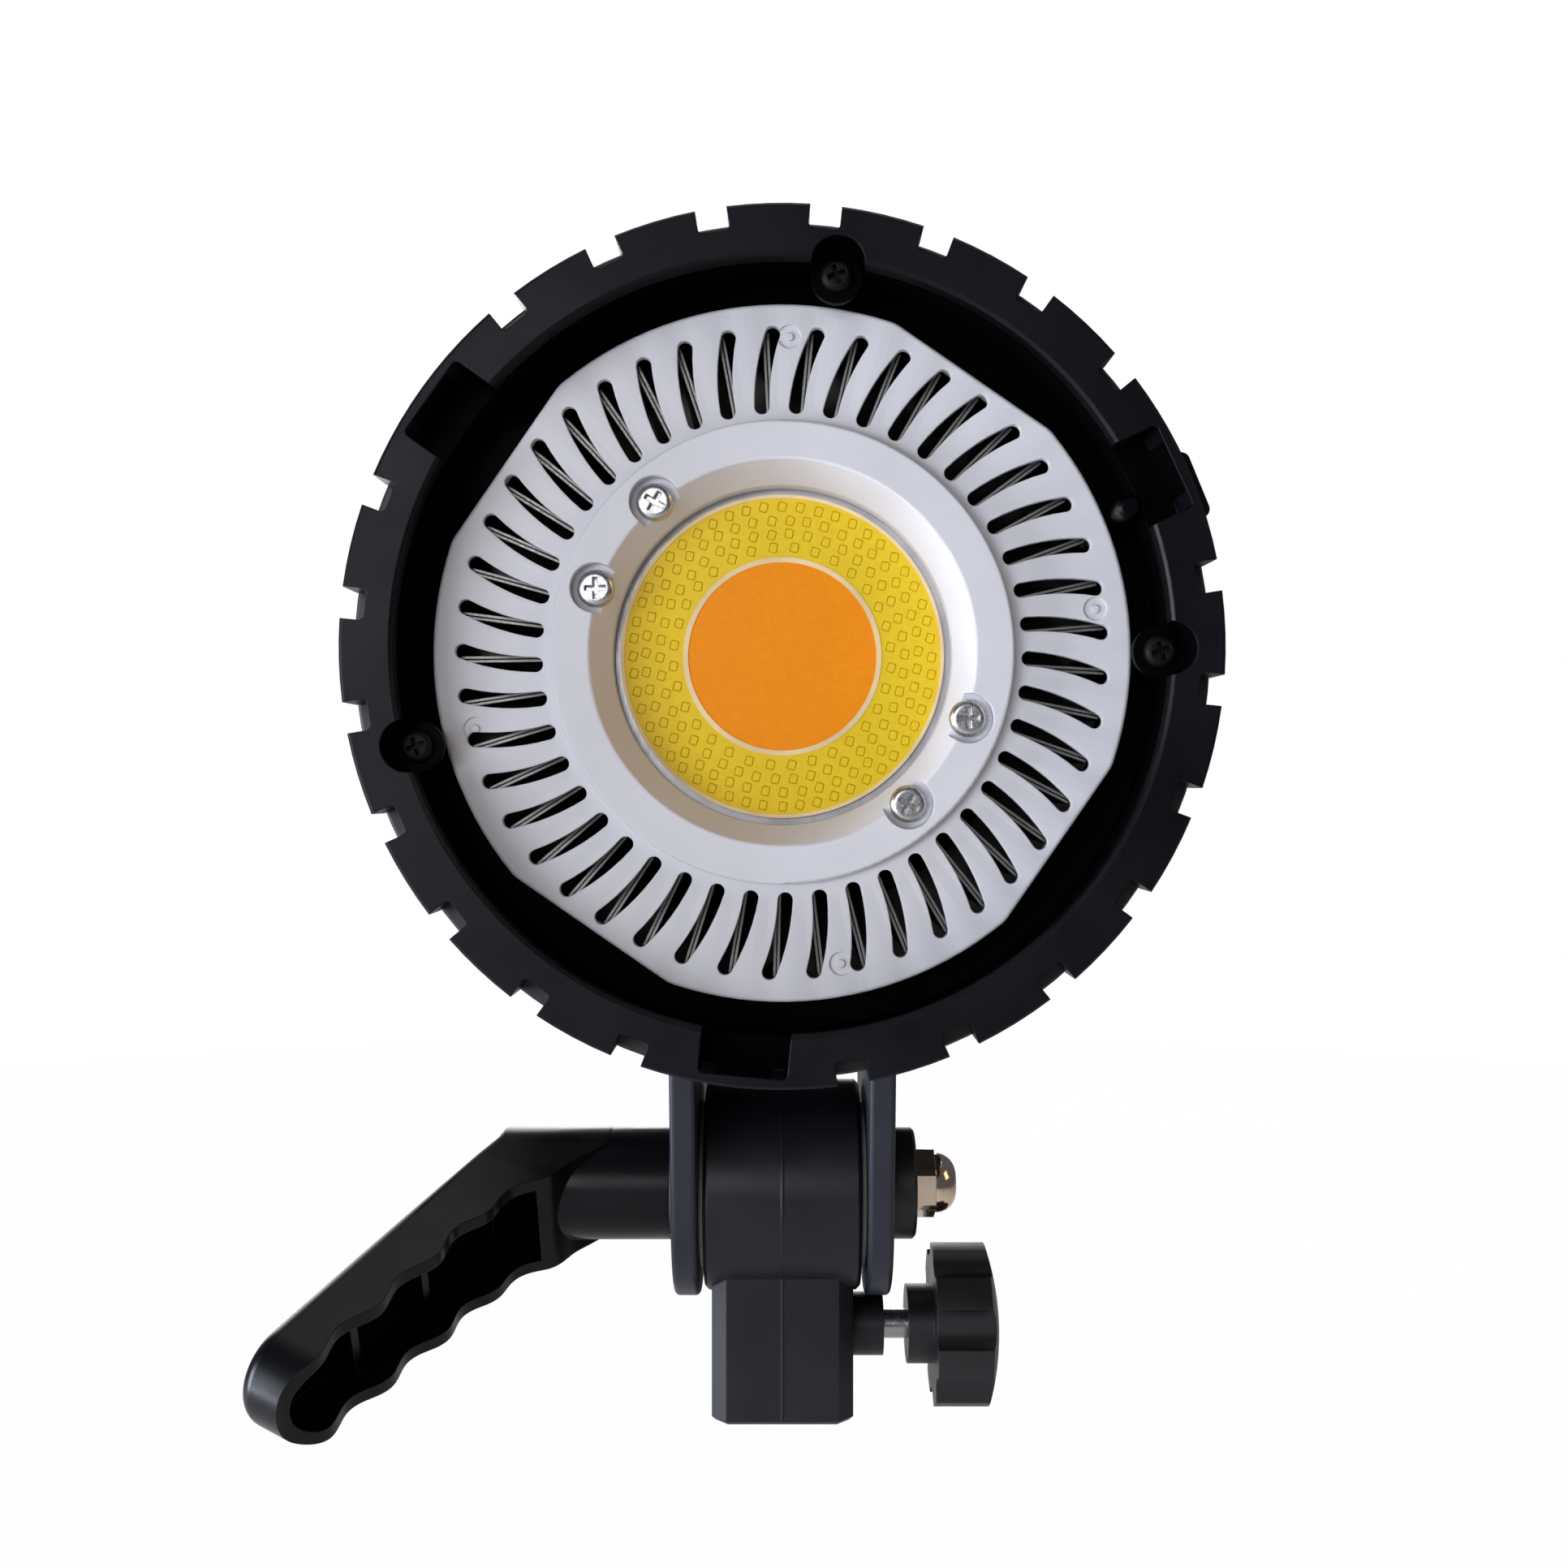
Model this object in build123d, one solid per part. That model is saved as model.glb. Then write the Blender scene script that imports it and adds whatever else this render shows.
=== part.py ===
from build123d import *
import os
from math import asin, cos, degrees, pi, radians, sin

# A studio chip-on-board spotlight on its tilt bracket. Millimetres, +Z up. The origin is the centre of
# the stand socket's mouth. The head faces -Y and tilts about X; the clamp handle is on the -X side.

os.makedirs("parts", exist_ok=True)

# ---- where the head and the stand part sit
TILT_Z = 45.5  # tilt axis above the socket's mouth
AXIS_Z = 152.0  # optical axis
FRONT_Y = -76.0  # front face of the bayonet ring

# ---- bayonet ring. Depths are measured back from the ring's front face.
RING_R = 72.5
RING_BORE_R = 63.8
RING_DEPTH = 9.5
FLANGE = 3.5
LUG_GROOVE_R = 67.0
NOTCH_COUNT = 24
NOTCH_START = 9.3
NOTCH_WIDTH = 5.2
NOTCH_FLOOR_R = 68.4
BAYONET_START = 24.7
BAYONET_COUNT = 3
BAYONET_WIDTH = 14.7
BAYONET_R = 70.6
RING_SCREW_ANGLES = (81.7, 194.8, 359.8)
RING_SCREW_R = 63.4
CUTOUT_R = 4.4
RING_TAB = 1.5  # thickness of the screw tab in each cut-out

# ---- barrels
BARREL_R = 70.5
BARREL_BORE_R = 67.5
COLLAR_R = 72.4  # behind the ring, closing its notches and slots
COLLAR_BACK = 12.6
NECK_BORE_R = 65.2
WELL_FLOOR = (20.0, 22.5)
WELL_FLOOR_R = 58.0
SEAM = 84.0
BARREL_END = 186.0
REAR_FACE = 215.0
GROOVE_FLOOR_R = 69.3
VENT_WIDTH = 3.0
FRONT_VENT = (27.0, 53.0)  # depths of the vents in the grooves
REAR_VENT = (96.0, 126.0)
LIP_R = 67.3
LIP_BORE_R = 64.9
YOKE_HALF_WIDTH = 30.0
BARREL_SCREW_ANGLES = (46.8, 136.8, 226.8, 316.8)
BARREL_SCREW_DEPTH = 81.0

# ---- vent plate
PLATE_R = 60.0
PLATE_FRONT = 13.6
PLATE_BACK = 15.2
PLATE_SKIRT_BACK = 17.6
PLATE_FLAT = 57.8
PLATE_FLAT_START = 55.4
SLOT_COUNT = 45
SLOT_START = 3.7
SLOT_OUTER_R = 54.9
SLOT_INNER_R = 42.4
SLOT_SWEEP = 3.0
SLOT_WIDTH = 2.6
SLOT_BOW = 0.4
DIMPLE_ANGLES = (8.0, 88.7, 193.9, 280.7)
DIMPLE_R = 54.3

# ---- light source
RETAINER_FRONT = 11.0
RETAINER_R = 39.6
RETAINER_SPIGOT_R = 36.3
BEVEL_R = (33.0, 29.7)
BEVEL_BACK = 18.0
COB_FRONT = 21.0
BOARD_FRONT = 22.0
BOARD_BACK = 24.0
BOARD_R = 31.5
DAM_R = (28.5, 27.9, 17.5, 16.6)
RETAINER_SCREW_ANGLES = (130.3, 161.1, 309.8, 340.5)
RETAINER_SCREW_R = 33.7
RETAINER_SEAT = 2.5

# ---- cooling
SPREADER_R = 36.0
SPREADER_BACK = 30.0
FIN_PAIRS = 45
FIN_START = 4.95  # angle of the first fin pair
FIN_THICKNESS = 0.5
FIN_GAP = 0.16
FIN_R = 56.0
FIN_FRONT = 17.0
CORE_R = 20.0
SINK_BACK = 76.0
SINK_FLANGE = 2.5
SINK_SCREW_R = 63.4
SINK_SCREW_ANGLES = (0, 90, 180, 270)
FAN_SIZE = 92.0
FAN_DEPTH = 25.0
FAN_BORE_R = 44.0
FAN_SCREW = 41.25

# ---- bayonet release
LATCH_ANGLE = 22.3
PIN_R = 2.0
PIN_CENTRE_R = 62.8
PIN_FRONT = 6.0
PIN_BACK = 46.0
ARM = (26.0, 30.0)
GUIDE = (40.0, 43.0)

# ---- rear panel
PANEL_SIZE = (84.0, 56.0)
PANEL_Y = 14.0
PANEL_THICK = 1.2
LCD_Y = 26.0
LCD_SIZE = (44.0, 26.0)
KNOB_X = 28.0
KNOB_Y = 3.0
KNOB_R = 11.0
BUTTON_X = 7.5
BUTTON_Y = 2.0
SWITCH_X = -24.0
INLET_X = 18.0
FUSE_X = -5.5
LOWER_Y = -33.0
COVER_SCREW_ANGLES = (20.0, 160.0, 215.0, 325.0)
COVER_SCREW_R = 56.0

# ---- tilt bracket and stand part
EAR_OUTER = 22.1
EAR_INNER = 16.9
EAR_R = 22.6
EAR_TOP_HALF = 30.0
YOKE_R = 74.6
KNUCKLE_R = 21.5
KNUCKLE_HALF = 15.9
STEM_WIDTH = 28.8
STEM_CHAMFER = 3.0
SPIGOT_R = 8.05
SPIGOT_DEPTH = 31.0
BOLT_R = 3.98
CLAMP_Z = 15.9
CLAMP_SCREW_R = 2.98
BOSS_END = 21.0
INSERT_START = 13.8

# ---- clamp handle, drawn in the plane that holds the tilt axis and the grip
HANDLE_START = 23.3
SHAFT_R = 11.5
GRIP_ANGLE = 60.0  # grip against the tilt axis
GRIP_TILT = 24.8  # plane of the bend below the horizontal
GRIP_BACK = (64.1, 3.5)  # a point on the grip's back line: out along the shaft, then forward
GRIP_LENGTH = 65.2
GRIP_HALF_WIDTH = (11.6, 9.8)  # at the elbow and at the tip
GRIP_DEPTH = (15.0, 11.4)
WAVE_PITCH = 14.8
WAVE_HEIGHT = 1.1
WAVE_CREST = 12.5  # first crest, along the grip
WEB_END = 10.0  # the web between shaft and grip ends here, along the grip
WEB_SLOPE = 0.33
GRIP_START = -24.0
BACK_CORNER = -13.7  # the back leaves the corner here and bends at the next point
BACK_BEND = (-6.0, 2.5)
GRIP_WALL = 2.6
RIB_PLACES = (4.0, 25.0, 44.0)
RIB_THICKNESS = 1.8
HOLLOW_START = 49.5  # out along the shaft
ELBOW_ROUND = 3.0

# Local x is the object's X, local y is up and local z points forward from the ring's front face.
LAMP = Plane(origin=(0, FRONT_Y, AXIS_Z), x_dir=(1, 0, 0), z_dir=(0, -1, 0)).location
ALONG_X = Rot(0, 90, 0)


def save(name, *shapes):
    """Write one node: a single solid, or a group of separate solids."""
    shape = shapes[0] if len(shapes) == 1 else Compound(children=list(shapes))
    export_step(shape, f"parts/{name}.step")


def save_lamp(name, *shapes):
    """Write a node that was drawn in the lamp's own frame."""
    save(name, *[LAMP * shape for shape in shapes])


def disc(radius, front, back, x=0, y=0):
    """A cylinder on the optical axis, or beside it, between two depths."""
    return Pos(x, y, -(front + back) / 2) * Cylinder(radius, back - front)


def tube(outer, inner, front, back, x=0, y=0):
    return disc(outer, front, back, x, y) - disc(inner, front - 1, back + 1, x, y)


def slab(sketch, front, back, x=0, y=0):
    """A flat outline, seen from the front, made solid between two depths."""
    return extrude(Pos(x, y, -back) * sketch, back - front)


def block(width, height, front, back, x=0, y=0):
    return Pos(x, y, -(front + back) / 2) * Box(width, height, back - front)


def turned(points):
    """A solid of revolution about the optical axis from (radius, depth) points."""
    outline = Polyline([(radius, 0, -depth) for radius, depth in points], close=True)
    return revolve(make_face(outline), Axis.Z)


def polar(radius, angle):
    return radius * cos(radians(angle)), radius * sin(radians(angle))


def around(shape, angle):
    return Rot(0, 0, angle) * shape


def bar_x(radius, start, end, y=0, z=0):
    """A cylinder along X in the object's frame."""
    return Pos((start + end) / 2, y, z) * ALONG_X * Cylinder(radius, end - start)


def radial_bar(radius, inner, outer, angle, depth):
    """A cylinder that points away from the optical axis."""
    return around(Pos((inner + outer) / 2, 0, -depth) * ALONG_X * Cylinder(radius, outer - inner), angle)


def cross_recess(width, depth):
    """The cross-shaped socket of a screw head, cut down from z = 0."""
    wing = Pos(0, 0, -depth / 2) * Box(width, width * 0.24, depth)
    return wing + Rot(0, 0, 90) * wing


def pan_screw(head_r, head_h, shank_r, length):
    """A pan-head screw with its seat at z = 0 and its head above."""
    head = Pos(0, 0, head_h / 2) * Cylinder(head_r, head_h)
    head = fillet(head.edges().group_by(Axis.Z)[-1], head_h * 0.55)
    recess = Pos(0, 0, head_h) * Rot(0, 0, 20) * cross_recess(head_r * 1.15, head_h * 0.7)
    return head - recess + Pos(0, 0, -length / 2) * Cylinder(shank_r, length)


def notch_angles():
    """The outer notches: one is left out at each bayonet slot."""
    step = 360 / NOTCH_COUNT
    every = NOTCH_COUNT // BAYONET_COUNT
    return [NOTCH_START + step * k for k in range(NOTCH_COUNT) if k % every != 1]


def bayonet_angles():
    return [BAYONET_START + 360 / BAYONET_COUNT * k for k in range(BAYONET_COUNT)]


# ------------------------------------------------------------------ head: ring, barrels and bracket


def make_bayonet_ring():
    ring = turned(
        [
            (RING_BORE_R, 0),
            (RING_R, 0),
            (RING_R, RING_DEPTH),
            (LUG_GROOVE_R, RING_DEPTH),
            (LUG_GROOVE_R, FLANGE),
            (RING_BORE_R, FLANGE),
        ]
    )
    ring = chamfer(ring.edges().group_by(Axis.Z)[-1], 0.5)
    tab_front = RING_DEPTH - RING_TAB
    tabs = [disc(CUTOUT_R, tab_front, RING_DEPTH, *polar(RING_SCREW_R, a)) for a in RING_SCREW_ANGLES]
    ring = ring + tabs
    notch_length = 8.0
    notch = slab(RectangleRounded(notch_length, NOTCH_WIDTH, 0.9), -1, RING_DEPTH + 1)
    notch = Pos(NOTCH_FLOOR_R + notch_length / 2, 0, 0) * notch
    slot_length = 12.0
    slot = slab(RectangleRounded(slot_length, BAYONET_WIDTH, 1.0), -1, RING_DEPTH + 1)
    slot = Pos(BAYONET_R - slot_length / 2, 0, 0) * slot
    cuts = [around(notch, a) for a in notch_angles()]
    cuts += [around(slot, a) for a in bayonet_angles()]
    for angle in RING_SCREW_ANGLES:
        place = polar(RING_SCREW_R, angle)
        cuts.append(disc(CUTOUT_R, -1, tab_front, *place))
        cuts.append(disc(1.4, 0, RING_DEPTH + 1, *place))
    return ring - cuts


def grooves_and_vents(front, back, vent):
    """Cutters for the long outer grooves, which line up with the ring's notches, and their vents."""
    depth = BARREL_R - GROOVE_FLOOR_R + 2
    groove = block(depth, NOTCH_WIDTH, front - 1, back + 1, GROOVE_FLOOR_R + depth / 2)
    side = Plane(origin=(BARREL_BORE_R - 4, 0, -(vent[0] + vent[1]) / 2), x_dir=(0, 0, 1), z_dir=(1, 0, 0))
    opening = extrude(side * SlotOverall(vent[1] - vent[0], VENT_WIDTH), 12)
    cuts = []
    for angle in notch_angles():
        if abs(angle - 270) > degrees(asin((YOKE_HALF_WIDTH + 3) / BARREL_R)):
            cuts += [around(groove, angle), around(opening, angle)]
    return cuts


def yoke_screw_places():
    """Angle and depth of the four screws that hold the bracket under the barrels."""
    spread = 21.0
    reach = 20.0
    return [(270 + side * spread, -FRONT_Y + end * reach) for side in (-1, 1) for end in (-1, 1)]


def make_front_barrel():
    barrel = turned(
        [
            (COLLAR_R - 0.4, RING_DEPTH),
            (COLLAR_R, RING_DEPTH + 0.4),
            (COLLAR_R, COLLAR_BACK - 0.6),
            (COLLAR_R - 0.6, COLLAR_BACK),
            (BARREL_R, COLLAR_BACK),
            (BARREL_R, SEAM),
            (BARREL_BORE_R, SEAM),
            (BARREL_BORE_R, WELL_FLOOR[1]),
            (WELL_FLOOR_R, WELL_FLOOR[1]),
            (WELL_FLOOR_R, WELL_FLOOR[0]),
            (NECK_BORE_R, WELL_FLOOR[0]),
            (NECK_BORE_R, RING_DEPTH),
        ]
    )
    ledge_back = SINK_BACK - SINK_FLANGE
    adds = [disc(3.2, RING_DEPTH, WELL_FLOOR[0] + 1, *polar(RING_SCREW_R, a)) for a in RING_SCREW_ANGLES]
    sink_places = [polar(SINK_SCREW_R, a) for a in SINK_SCREW_ANGLES]
    adds += [disc(4.3, ledge_back - 6, ledge_back, *place) for place in sink_places]
    pin_place = polar(PIN_CENTRE_R, LATCH_ANGLE)
    adds.append(disc(3.4, WELL_FLOOR[0] - 2, WELL_FLOOR[1], *pin_place))
    adds.append(around(block(10, 9, *GUIDE, 63.2), LATCH_ANGLE))
    barrel = barrel + adds
    cuts = grooves_and_vents(COLLAR_BACK + 1, SEAM, FRONT_VENT)
    for angle in RING_SCREW_ANGLES:
        cuts.append(disc(1.3, RING_DEPTH - 1, WELL_FLOOR[0] - 1, *polar(RING_SCREW_R, angle)))
    cuts += [disc(1.3, ledge_back - 5, ledge_back + 1, *place) for place in sink_places]
    cuts += [radial_bar(1.5, 60, 75, angle, BARREL_SCREW_DEPTH) for angle in BARREL_SCREW_ANGLES]
    cuts.append(disc(PIN_R + 0.06, WELL_FLOOR[0] - 3, GUIDE[1] + 1, *pin_place))
    cuts.append(around(block(12, 6.4, ARM[0] - 2.5, ARM[1] + 6.5, BARREL_BORE_R + 2), LATCH_ANGLE))
    cuts += [radial_bar(2.1, 60, 75, angle, depth) for angle, depth in yoke_screw_places()]
    return barrel - cuts


def make_rear_barrel():
    barrel = turned(
        [
            (LIP_R, SEAM - 6),
            (LIP_R, SEAM),
            (BARREL_R, SEAM),
            (BARREL_R, BARREL_END),
            (BARREL_BORE_R, BARREL_END),
            (BARREL_BORE_R, SEAM + 6),
            (LIP_BORE_R, SEAM + 3),
            (LIP_BORE_R, SEAM - 6),
        ]
    )
    shelf = block(2 * 58, 2.5, 112, 172, 0, -38.75) & disc(BARREL_BORE_R + 1, 100, 180)
    gusset = block(17, 8, 172, 181, 60)
    gussets = [around(gusset, a) & disc(BARREL_BORE_R + 1, 160, 190) for a in COVER_SCREW_ANGLES]
    barrel = barrel + [shelf] + gussets
    cuts = grooves_and_vents(SEAM - 8, BARREL_END, REAR_VENT)
    cuts += [disc(1.3, 170, 190, *polar(COVER_SCREW_R, a)) for a in COVER_SCREW_ANGLES]
    cuts += [radial_bar(1.3, 60, 75, angle, BARREL_SCREW_DEPTH) for angle in BARREL_SCREW_ANGLES]
    cuts += [radial_bar(2.1, 60, 75, angle, depth) for angle, depth in yoke_screw_places()]
    return barrel - cuts


def make_rear_cover():
    lip_front = BARREL_END - 5
    cover = turned(
        [
            (LIP_R, lip_front),
            (LIP_R, BARREL_END),
            (BARREL_R, BARREL_END),
            (BARREL_R, REAR_FACE),
            (0, REAR_FACE),
            (0, REAR_FACE - 3),
            (BARREL_BORE_R - 3, REAR_FACE - 3),
            (BARREL_BORE_R, REAR_FACE - 10),
            (BARREL_BORE_R, BARREL_END + 3),
            (LIP_BORE_R, BARREL_END + 1),
            (LIP_BORE_R, lip_front),
        ]
    )
    cover = fillet(cover.edges().group_by(Axis.Z)[0], 9.0)
    posts = [disc(4, lip_front, REAR_FACE - 2, *polar(COVER_SCREW_R, a)) for a in COVER_SCREW_ANGLES]
    for x, y in board_post_places():
        posts.append(disc(2.5, 201.6, REAR_FACE - 2, x, y))
    cover = cover + posts
    through = REAR_FACE - 5
    out = REAR_FACE + 1
    cuts = [block(LCD_SIZE[0] + 2, LCD_SIZE[1] + 2, through, out, 0, LCD_Y)]
    cuts.append(block(19.6, 13.6, through, out, SWITCH_X, LOWER_Y))
    cuts.append(block(27.6, 20.6, through, out, INLET_X, LOWER_Y))
    cuts.append(disc(5.1, through, out, FUSE_X, LOWER_Y))
    for side in (-1, 1):
        cuts.append(disc(3.7, through, out, side * KNOB_X, KNOB_Y))
        cuts.append(block(9.4, 6.4, through, out, side * BUTTON_X, BUTTON_Y))
    for angle in COVER_SCREW_ANGLES:
        place = polar(COVER_SCREW_R, angle)
        cuts += [disc(1.6, lip_front - 1, out, *place), disc(3.2, REAR_FACE - 2, out, *place)]
    return cover - cuts


def make_tilt_yoke():
    """Two ears under a saddle that follows the barrel."""
    corners = [(-EAR_TOP_HALF, AXIS_Z - 62), (EAR_TOP_HALF, AXIS_Z - 62)]
    round_end = Pos(0, TILT_Z) * Circle(EAR_R)
    top_edge = Line(corners[0], corners[1])
    outline = make_hull(round_end.edges() + [top_edge])
    width = EAR_OUTER - EAR_INNER
    ears = []
    for side in (-1, 1):
        ear_plane = Plane(origin=(side * (EAR_INNER + EAR_OUTER) / 2, 0, 0), x_dir=(0, 1, 0), z_dir=(1, 0, 0))
        ear = extrude(ear_plane * outline, width / 2, both=True)
        rims = ear.edges().group_by(Axis.X)
        ears.append(fillet(rims[0] + rims[-1], 1.0))
    reach = EAR_TOP_HALF + 2
    saddle = Pos(0, 0, AXIS_Z) * Rot(90, 0, 0) * Cylinder(YOKE_R, 2 * reach)
    saddle = saddle & Pos(0, 0, AXIS_Z - YOKE_R / 2 - 25) * Box(2 * YOKE_HALF_WIDTH, 2 * reach, YOKE_R)
    saddle = saddle - Pos(0, 0, AXIS_Z) * Box(200, 200, 2 * 58)
    yoke = saddle + ears
    barrel_room = Pos(0, 0, AXIS_Z) * Rot(90, 0, 0) * Cylinder(BARREL_R + 0.1, 300)
    cuts = [barrel_room, bar_x(BOLT_R + 0.08, -40, 40, 0, TILT_Z)]
    cuts += [LAMP * radial_bar(2.1, 60, 85, angle, depth) for angle, depth in yoke_screw_places()]
    return yoke - cuts


def radial_screws(places, seat_r, screw):
    """Screws whose heads sit on a cylinder round the optical axis."""
    return [around(Pos(seat_r, 0, -depth) * ALONG_X * screw, angle) for angle, depth in places]


# ------------------------------------------------------------------ head: plate, light source, cooling


def flat_sided_disc(radius, flat):
    """A disc with four short flats, seen from the front."""
    shape = Circle(radius)
    for k in range(4):
        angle = PLATE_FLAT_START + 90 * k
        cut = Rot(0, 0, angle) * Pos(flat + 10, 0) * Rectangle(20, 120)
        shape = shape - cut
    return fillet(shape.vertices(), 6)


def vent_slot():
    """One curved vent, seen from the front, for the slot at angle 0."""
    start = polar(SLOT_OUTER_R, 0)
    end = polar(SLOT_INNER_R, SLOT_SWEEP)
    middle = polar((SLOT_OUTER_R + SLOT_INNER_R) / 2, SLOT_SWEEP / 2)
    bow = (middle[0], middle[1] + SLOT_BOW)
    return SlotArc(ThreePointArc(start, bow, end), SLOT_WIDTH)


def make_vent_plate():
    sheet = flat_sided_disc(PLATE_R, PLATE_FLAT)
    plate = slab(sheet, PLATE_FRONT, PLATE_SKIRT_BACK)
    plate = fillet(plate.edges().group_by(Axis.Z)[-1], 0.7)
    inside = flat_sided_disc(PLATE_R - 1.5, PLATE_FLAT - 1.5)
    slot = slab(vent_slot(), PLATE_FRONT - 1, PLATE_BACK + 1)
    cuts = [slab(inside, PLATE_BACK, PLATE_SKIRT_BACK + 1)]
    cuts.append(disc(RETAINER_SPIGOT_R + 0.2, PLATE_FRONT - 1, PLATE_BACK + 1))
    cuts += [around(slot, SLOT_START + 360 / SLOT_COUNT * k) for k in range(SLOT_COUNT)]
    for angle in DIMPLE_ANGLES:
        cuts.append(tube(2.0, 0.7, PLATE_FRONT - 1, PLATE_FRONT + 0.4, *polar(DIMPLE_R, angle)))
    return plate - cuts


def make_cob_retainer():
    ring = turned(
        [
            (BEVEL_R[0], RETAINER_FRONT),
            (RETAINER_R, RETAINER_FRONT),
            (RETAINER_R, PLATE_FRONT),
            (RETAINER_SPIGOT_R, PLATE_FRONT),
            (RETAINER_SPIGOT_R, BOARD_FRONT),
            (BEVEL_R[1], BOARD_FRONT),
            (BEVEL_R[1], BEVEL_BACK),
        ]
    )
    rims = ring.edges().group_by(Axis.Z)[-1]
    ring = fillet(rims, 0.5)
    cuts = []
    for angle in RETAINER_SCREW_ANGLES:
        place = polar(RETAINER_SCREW_R, angle)
        cuts += [disc(4.3, RETAINER_FRONT - 1, RETAINER_FRONT + RETAINER_SEAT, *place)]
        cuts += [disc(1.7, RETAINER_FRONT, BOARD_FRONT + 1, *place)]
    return ring - cuts


def make_heat_spreader():
    places = [polar(RETAINER_SCREW_R, a) for a in RETAINER_SCREW_ANGLES]
    holes = [disc(1.55, BOARD_BACK - 1, SPREADER_BACK + 1, *place) for place in places]
    return disc(SPREADER_R, BOARD_BACK, SPREADER_BACK) - holes


def make_heat_sink():
    """A solid core with thin fins in pairs, and a mounting flange at the back."""
    fin_inner = CORE_R - 1
    offset = (FIN_GAP + FIN_THICKNESS) / 2
    fin = Pos((fin_inner + FIN_R) / 2, 0) * Rectangle(FIN_R - fin_inner, FIN_THICKNESS)
    pair = [Pos(0, offset) * fin, Pos(0, -offset) * fin]
    fins = []
    for k in range(FIN_PAIRS):
        turn = Rot(0, 0, FIN_START + 360 / FIN_PAIRS * k)
        fins += [turn * one for one in pair]
    star = Circle(CORE_R) + fins
    front_star = star - Circle(SPREADER_R + 1.5)
    body = slab(star, SPREADER_BACK, SINK_BACK)
    nose = slab(front_star, FIN_FRONT, SPREADER_BACK)
    flange = tube(66, 50, SINK_BACK - SINK_FLANGE, SINK_BACK)
    sink = body + [nose, flange]
    cuts = [disc(1.6, SINK_BACK - 5, SINK_BACK + 1, *polar(SINK_SCREW_R, a)) for a in SINK_SCREW_ANGLES]
    for x, y in fan_screw_places():
        cuts.append(disc(1.8, SINK_BACK - SINK_FLANGE - 1, SINK_BACK + 1, x, y))
    for angle in RETAINER_SCREW_ANGLES:
        cuts.append(disc(1.55, SPREADER_BACK - 1, SPREADER_BACK + 8, *polar(RETAINER_SCREW_R, angle)))
    return sink - cuts


def fan_screw_places():
    return [(x * FAN_SCREW, y * FAN_SCREW) for x in (-1, 1) for y in (-1, 1)]


def make_fan_frame():
    back = SINK_BACK + FAN_DEPTH
    frame = slab(RectangleRounded(FAN_SIZE, FAN_SIZE, 8), SINK_BACK, back)
    frame = frame - disc(FAN_BORE_R, SINK_BACK - 1, back + 1)
    strut = block(30, 3, back - 2.5, back, 31)
    seat = tube(20, 1.55, back - 2.5, back)
    sleeve = tube(4, 1.55, back - 14, back)
    frame = frame + [around(strut, 45 + 90 * k) for k in range(4)] + [seat, sleeve]
    return frame - [disc(2.1, SINK_BACK - 1, back + 1, x, y) for x, y in fan_screw_places()]


def make_fan_rotor():
    """Hub, shaft and seven pitched blades that turn in the frame's sleeve."""
    back = SINK_BACK + FAN_DEPTH
    hub = disc(19, SINK_BACK + 2, back - 3) - disc(17, SINK_BACK + 4, back)
    blade = Pos(30, 0, -(SINK_BACK + 12)) * Rot(38, 0, 0) * Box(25, 22, 1.2)
    swept = tube(43, 18, SINK_BACK + 3, back - 4)
    blades = [around(blade, 360 / 7 * k) & swept for k in range(7)]
    shaft = disc(1.5, SINK_BACK + 2, back - 1)
    return hub + blades + [shaft]


# ------------------------------------------------------------------ head: bayonet release


def make_release_lever():
    pad = block(6.2, 12, 13, 31, 74.1)
    pad = fillet(pad.edges().filter_by(Axis.Z), 1.6)
    ridges = [block(1.2, 14, d, d + 1.4, 77.2) for d in (17, 20.5, 24, 27.5)]
    arm = block(10.5, 5, *ARM, 66.2)
    hub = disc(3.6, *ARM, PIN_CENTRE_R, 0)
    lever = pad - ridges + [arm, hub] - disc(PIN_R, 0, 60, PIN_CENTRE_R, 0)
    return around(lever, LATCH_ANGLE)


def make_lock_pin():
    pin = disc(PIN_R, PIN_FRONT, PIN_BACK)
    pin = chamfer(pin.edges().group_by(Axis.Z)[-1], 0.6)
    return around(Pos(PIN_CENTRE_R, 0, 0) * pin, LATCH_ANGLE)


def make_lock_spring():
    coil_r = 2.75
    wire_r = 0.3
    length = GUIDE[0] - ARM[1] - 2 * wire_r
    coil = Helix(pitch=length / 6, height=length, radius=coil_r)
    section = Plane(origin=coil @ 0, z_dir=coil % 0) * Circle(wire_r)
    wire = sweep(section, path=coil)
    start = Pos(PIN_CENTRE_R, 0, -(GUIDE[0] - wire_r))
    return around(start * wire, LATCH_ANGLE)


# ------------------------------------------------------------------ head: electronics and rear panel


def board_post_places():
    return [(x * 35.0, PANEL_Y + y * 21.0) for x in (-1, 1) for y in (-1, 1)]


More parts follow.
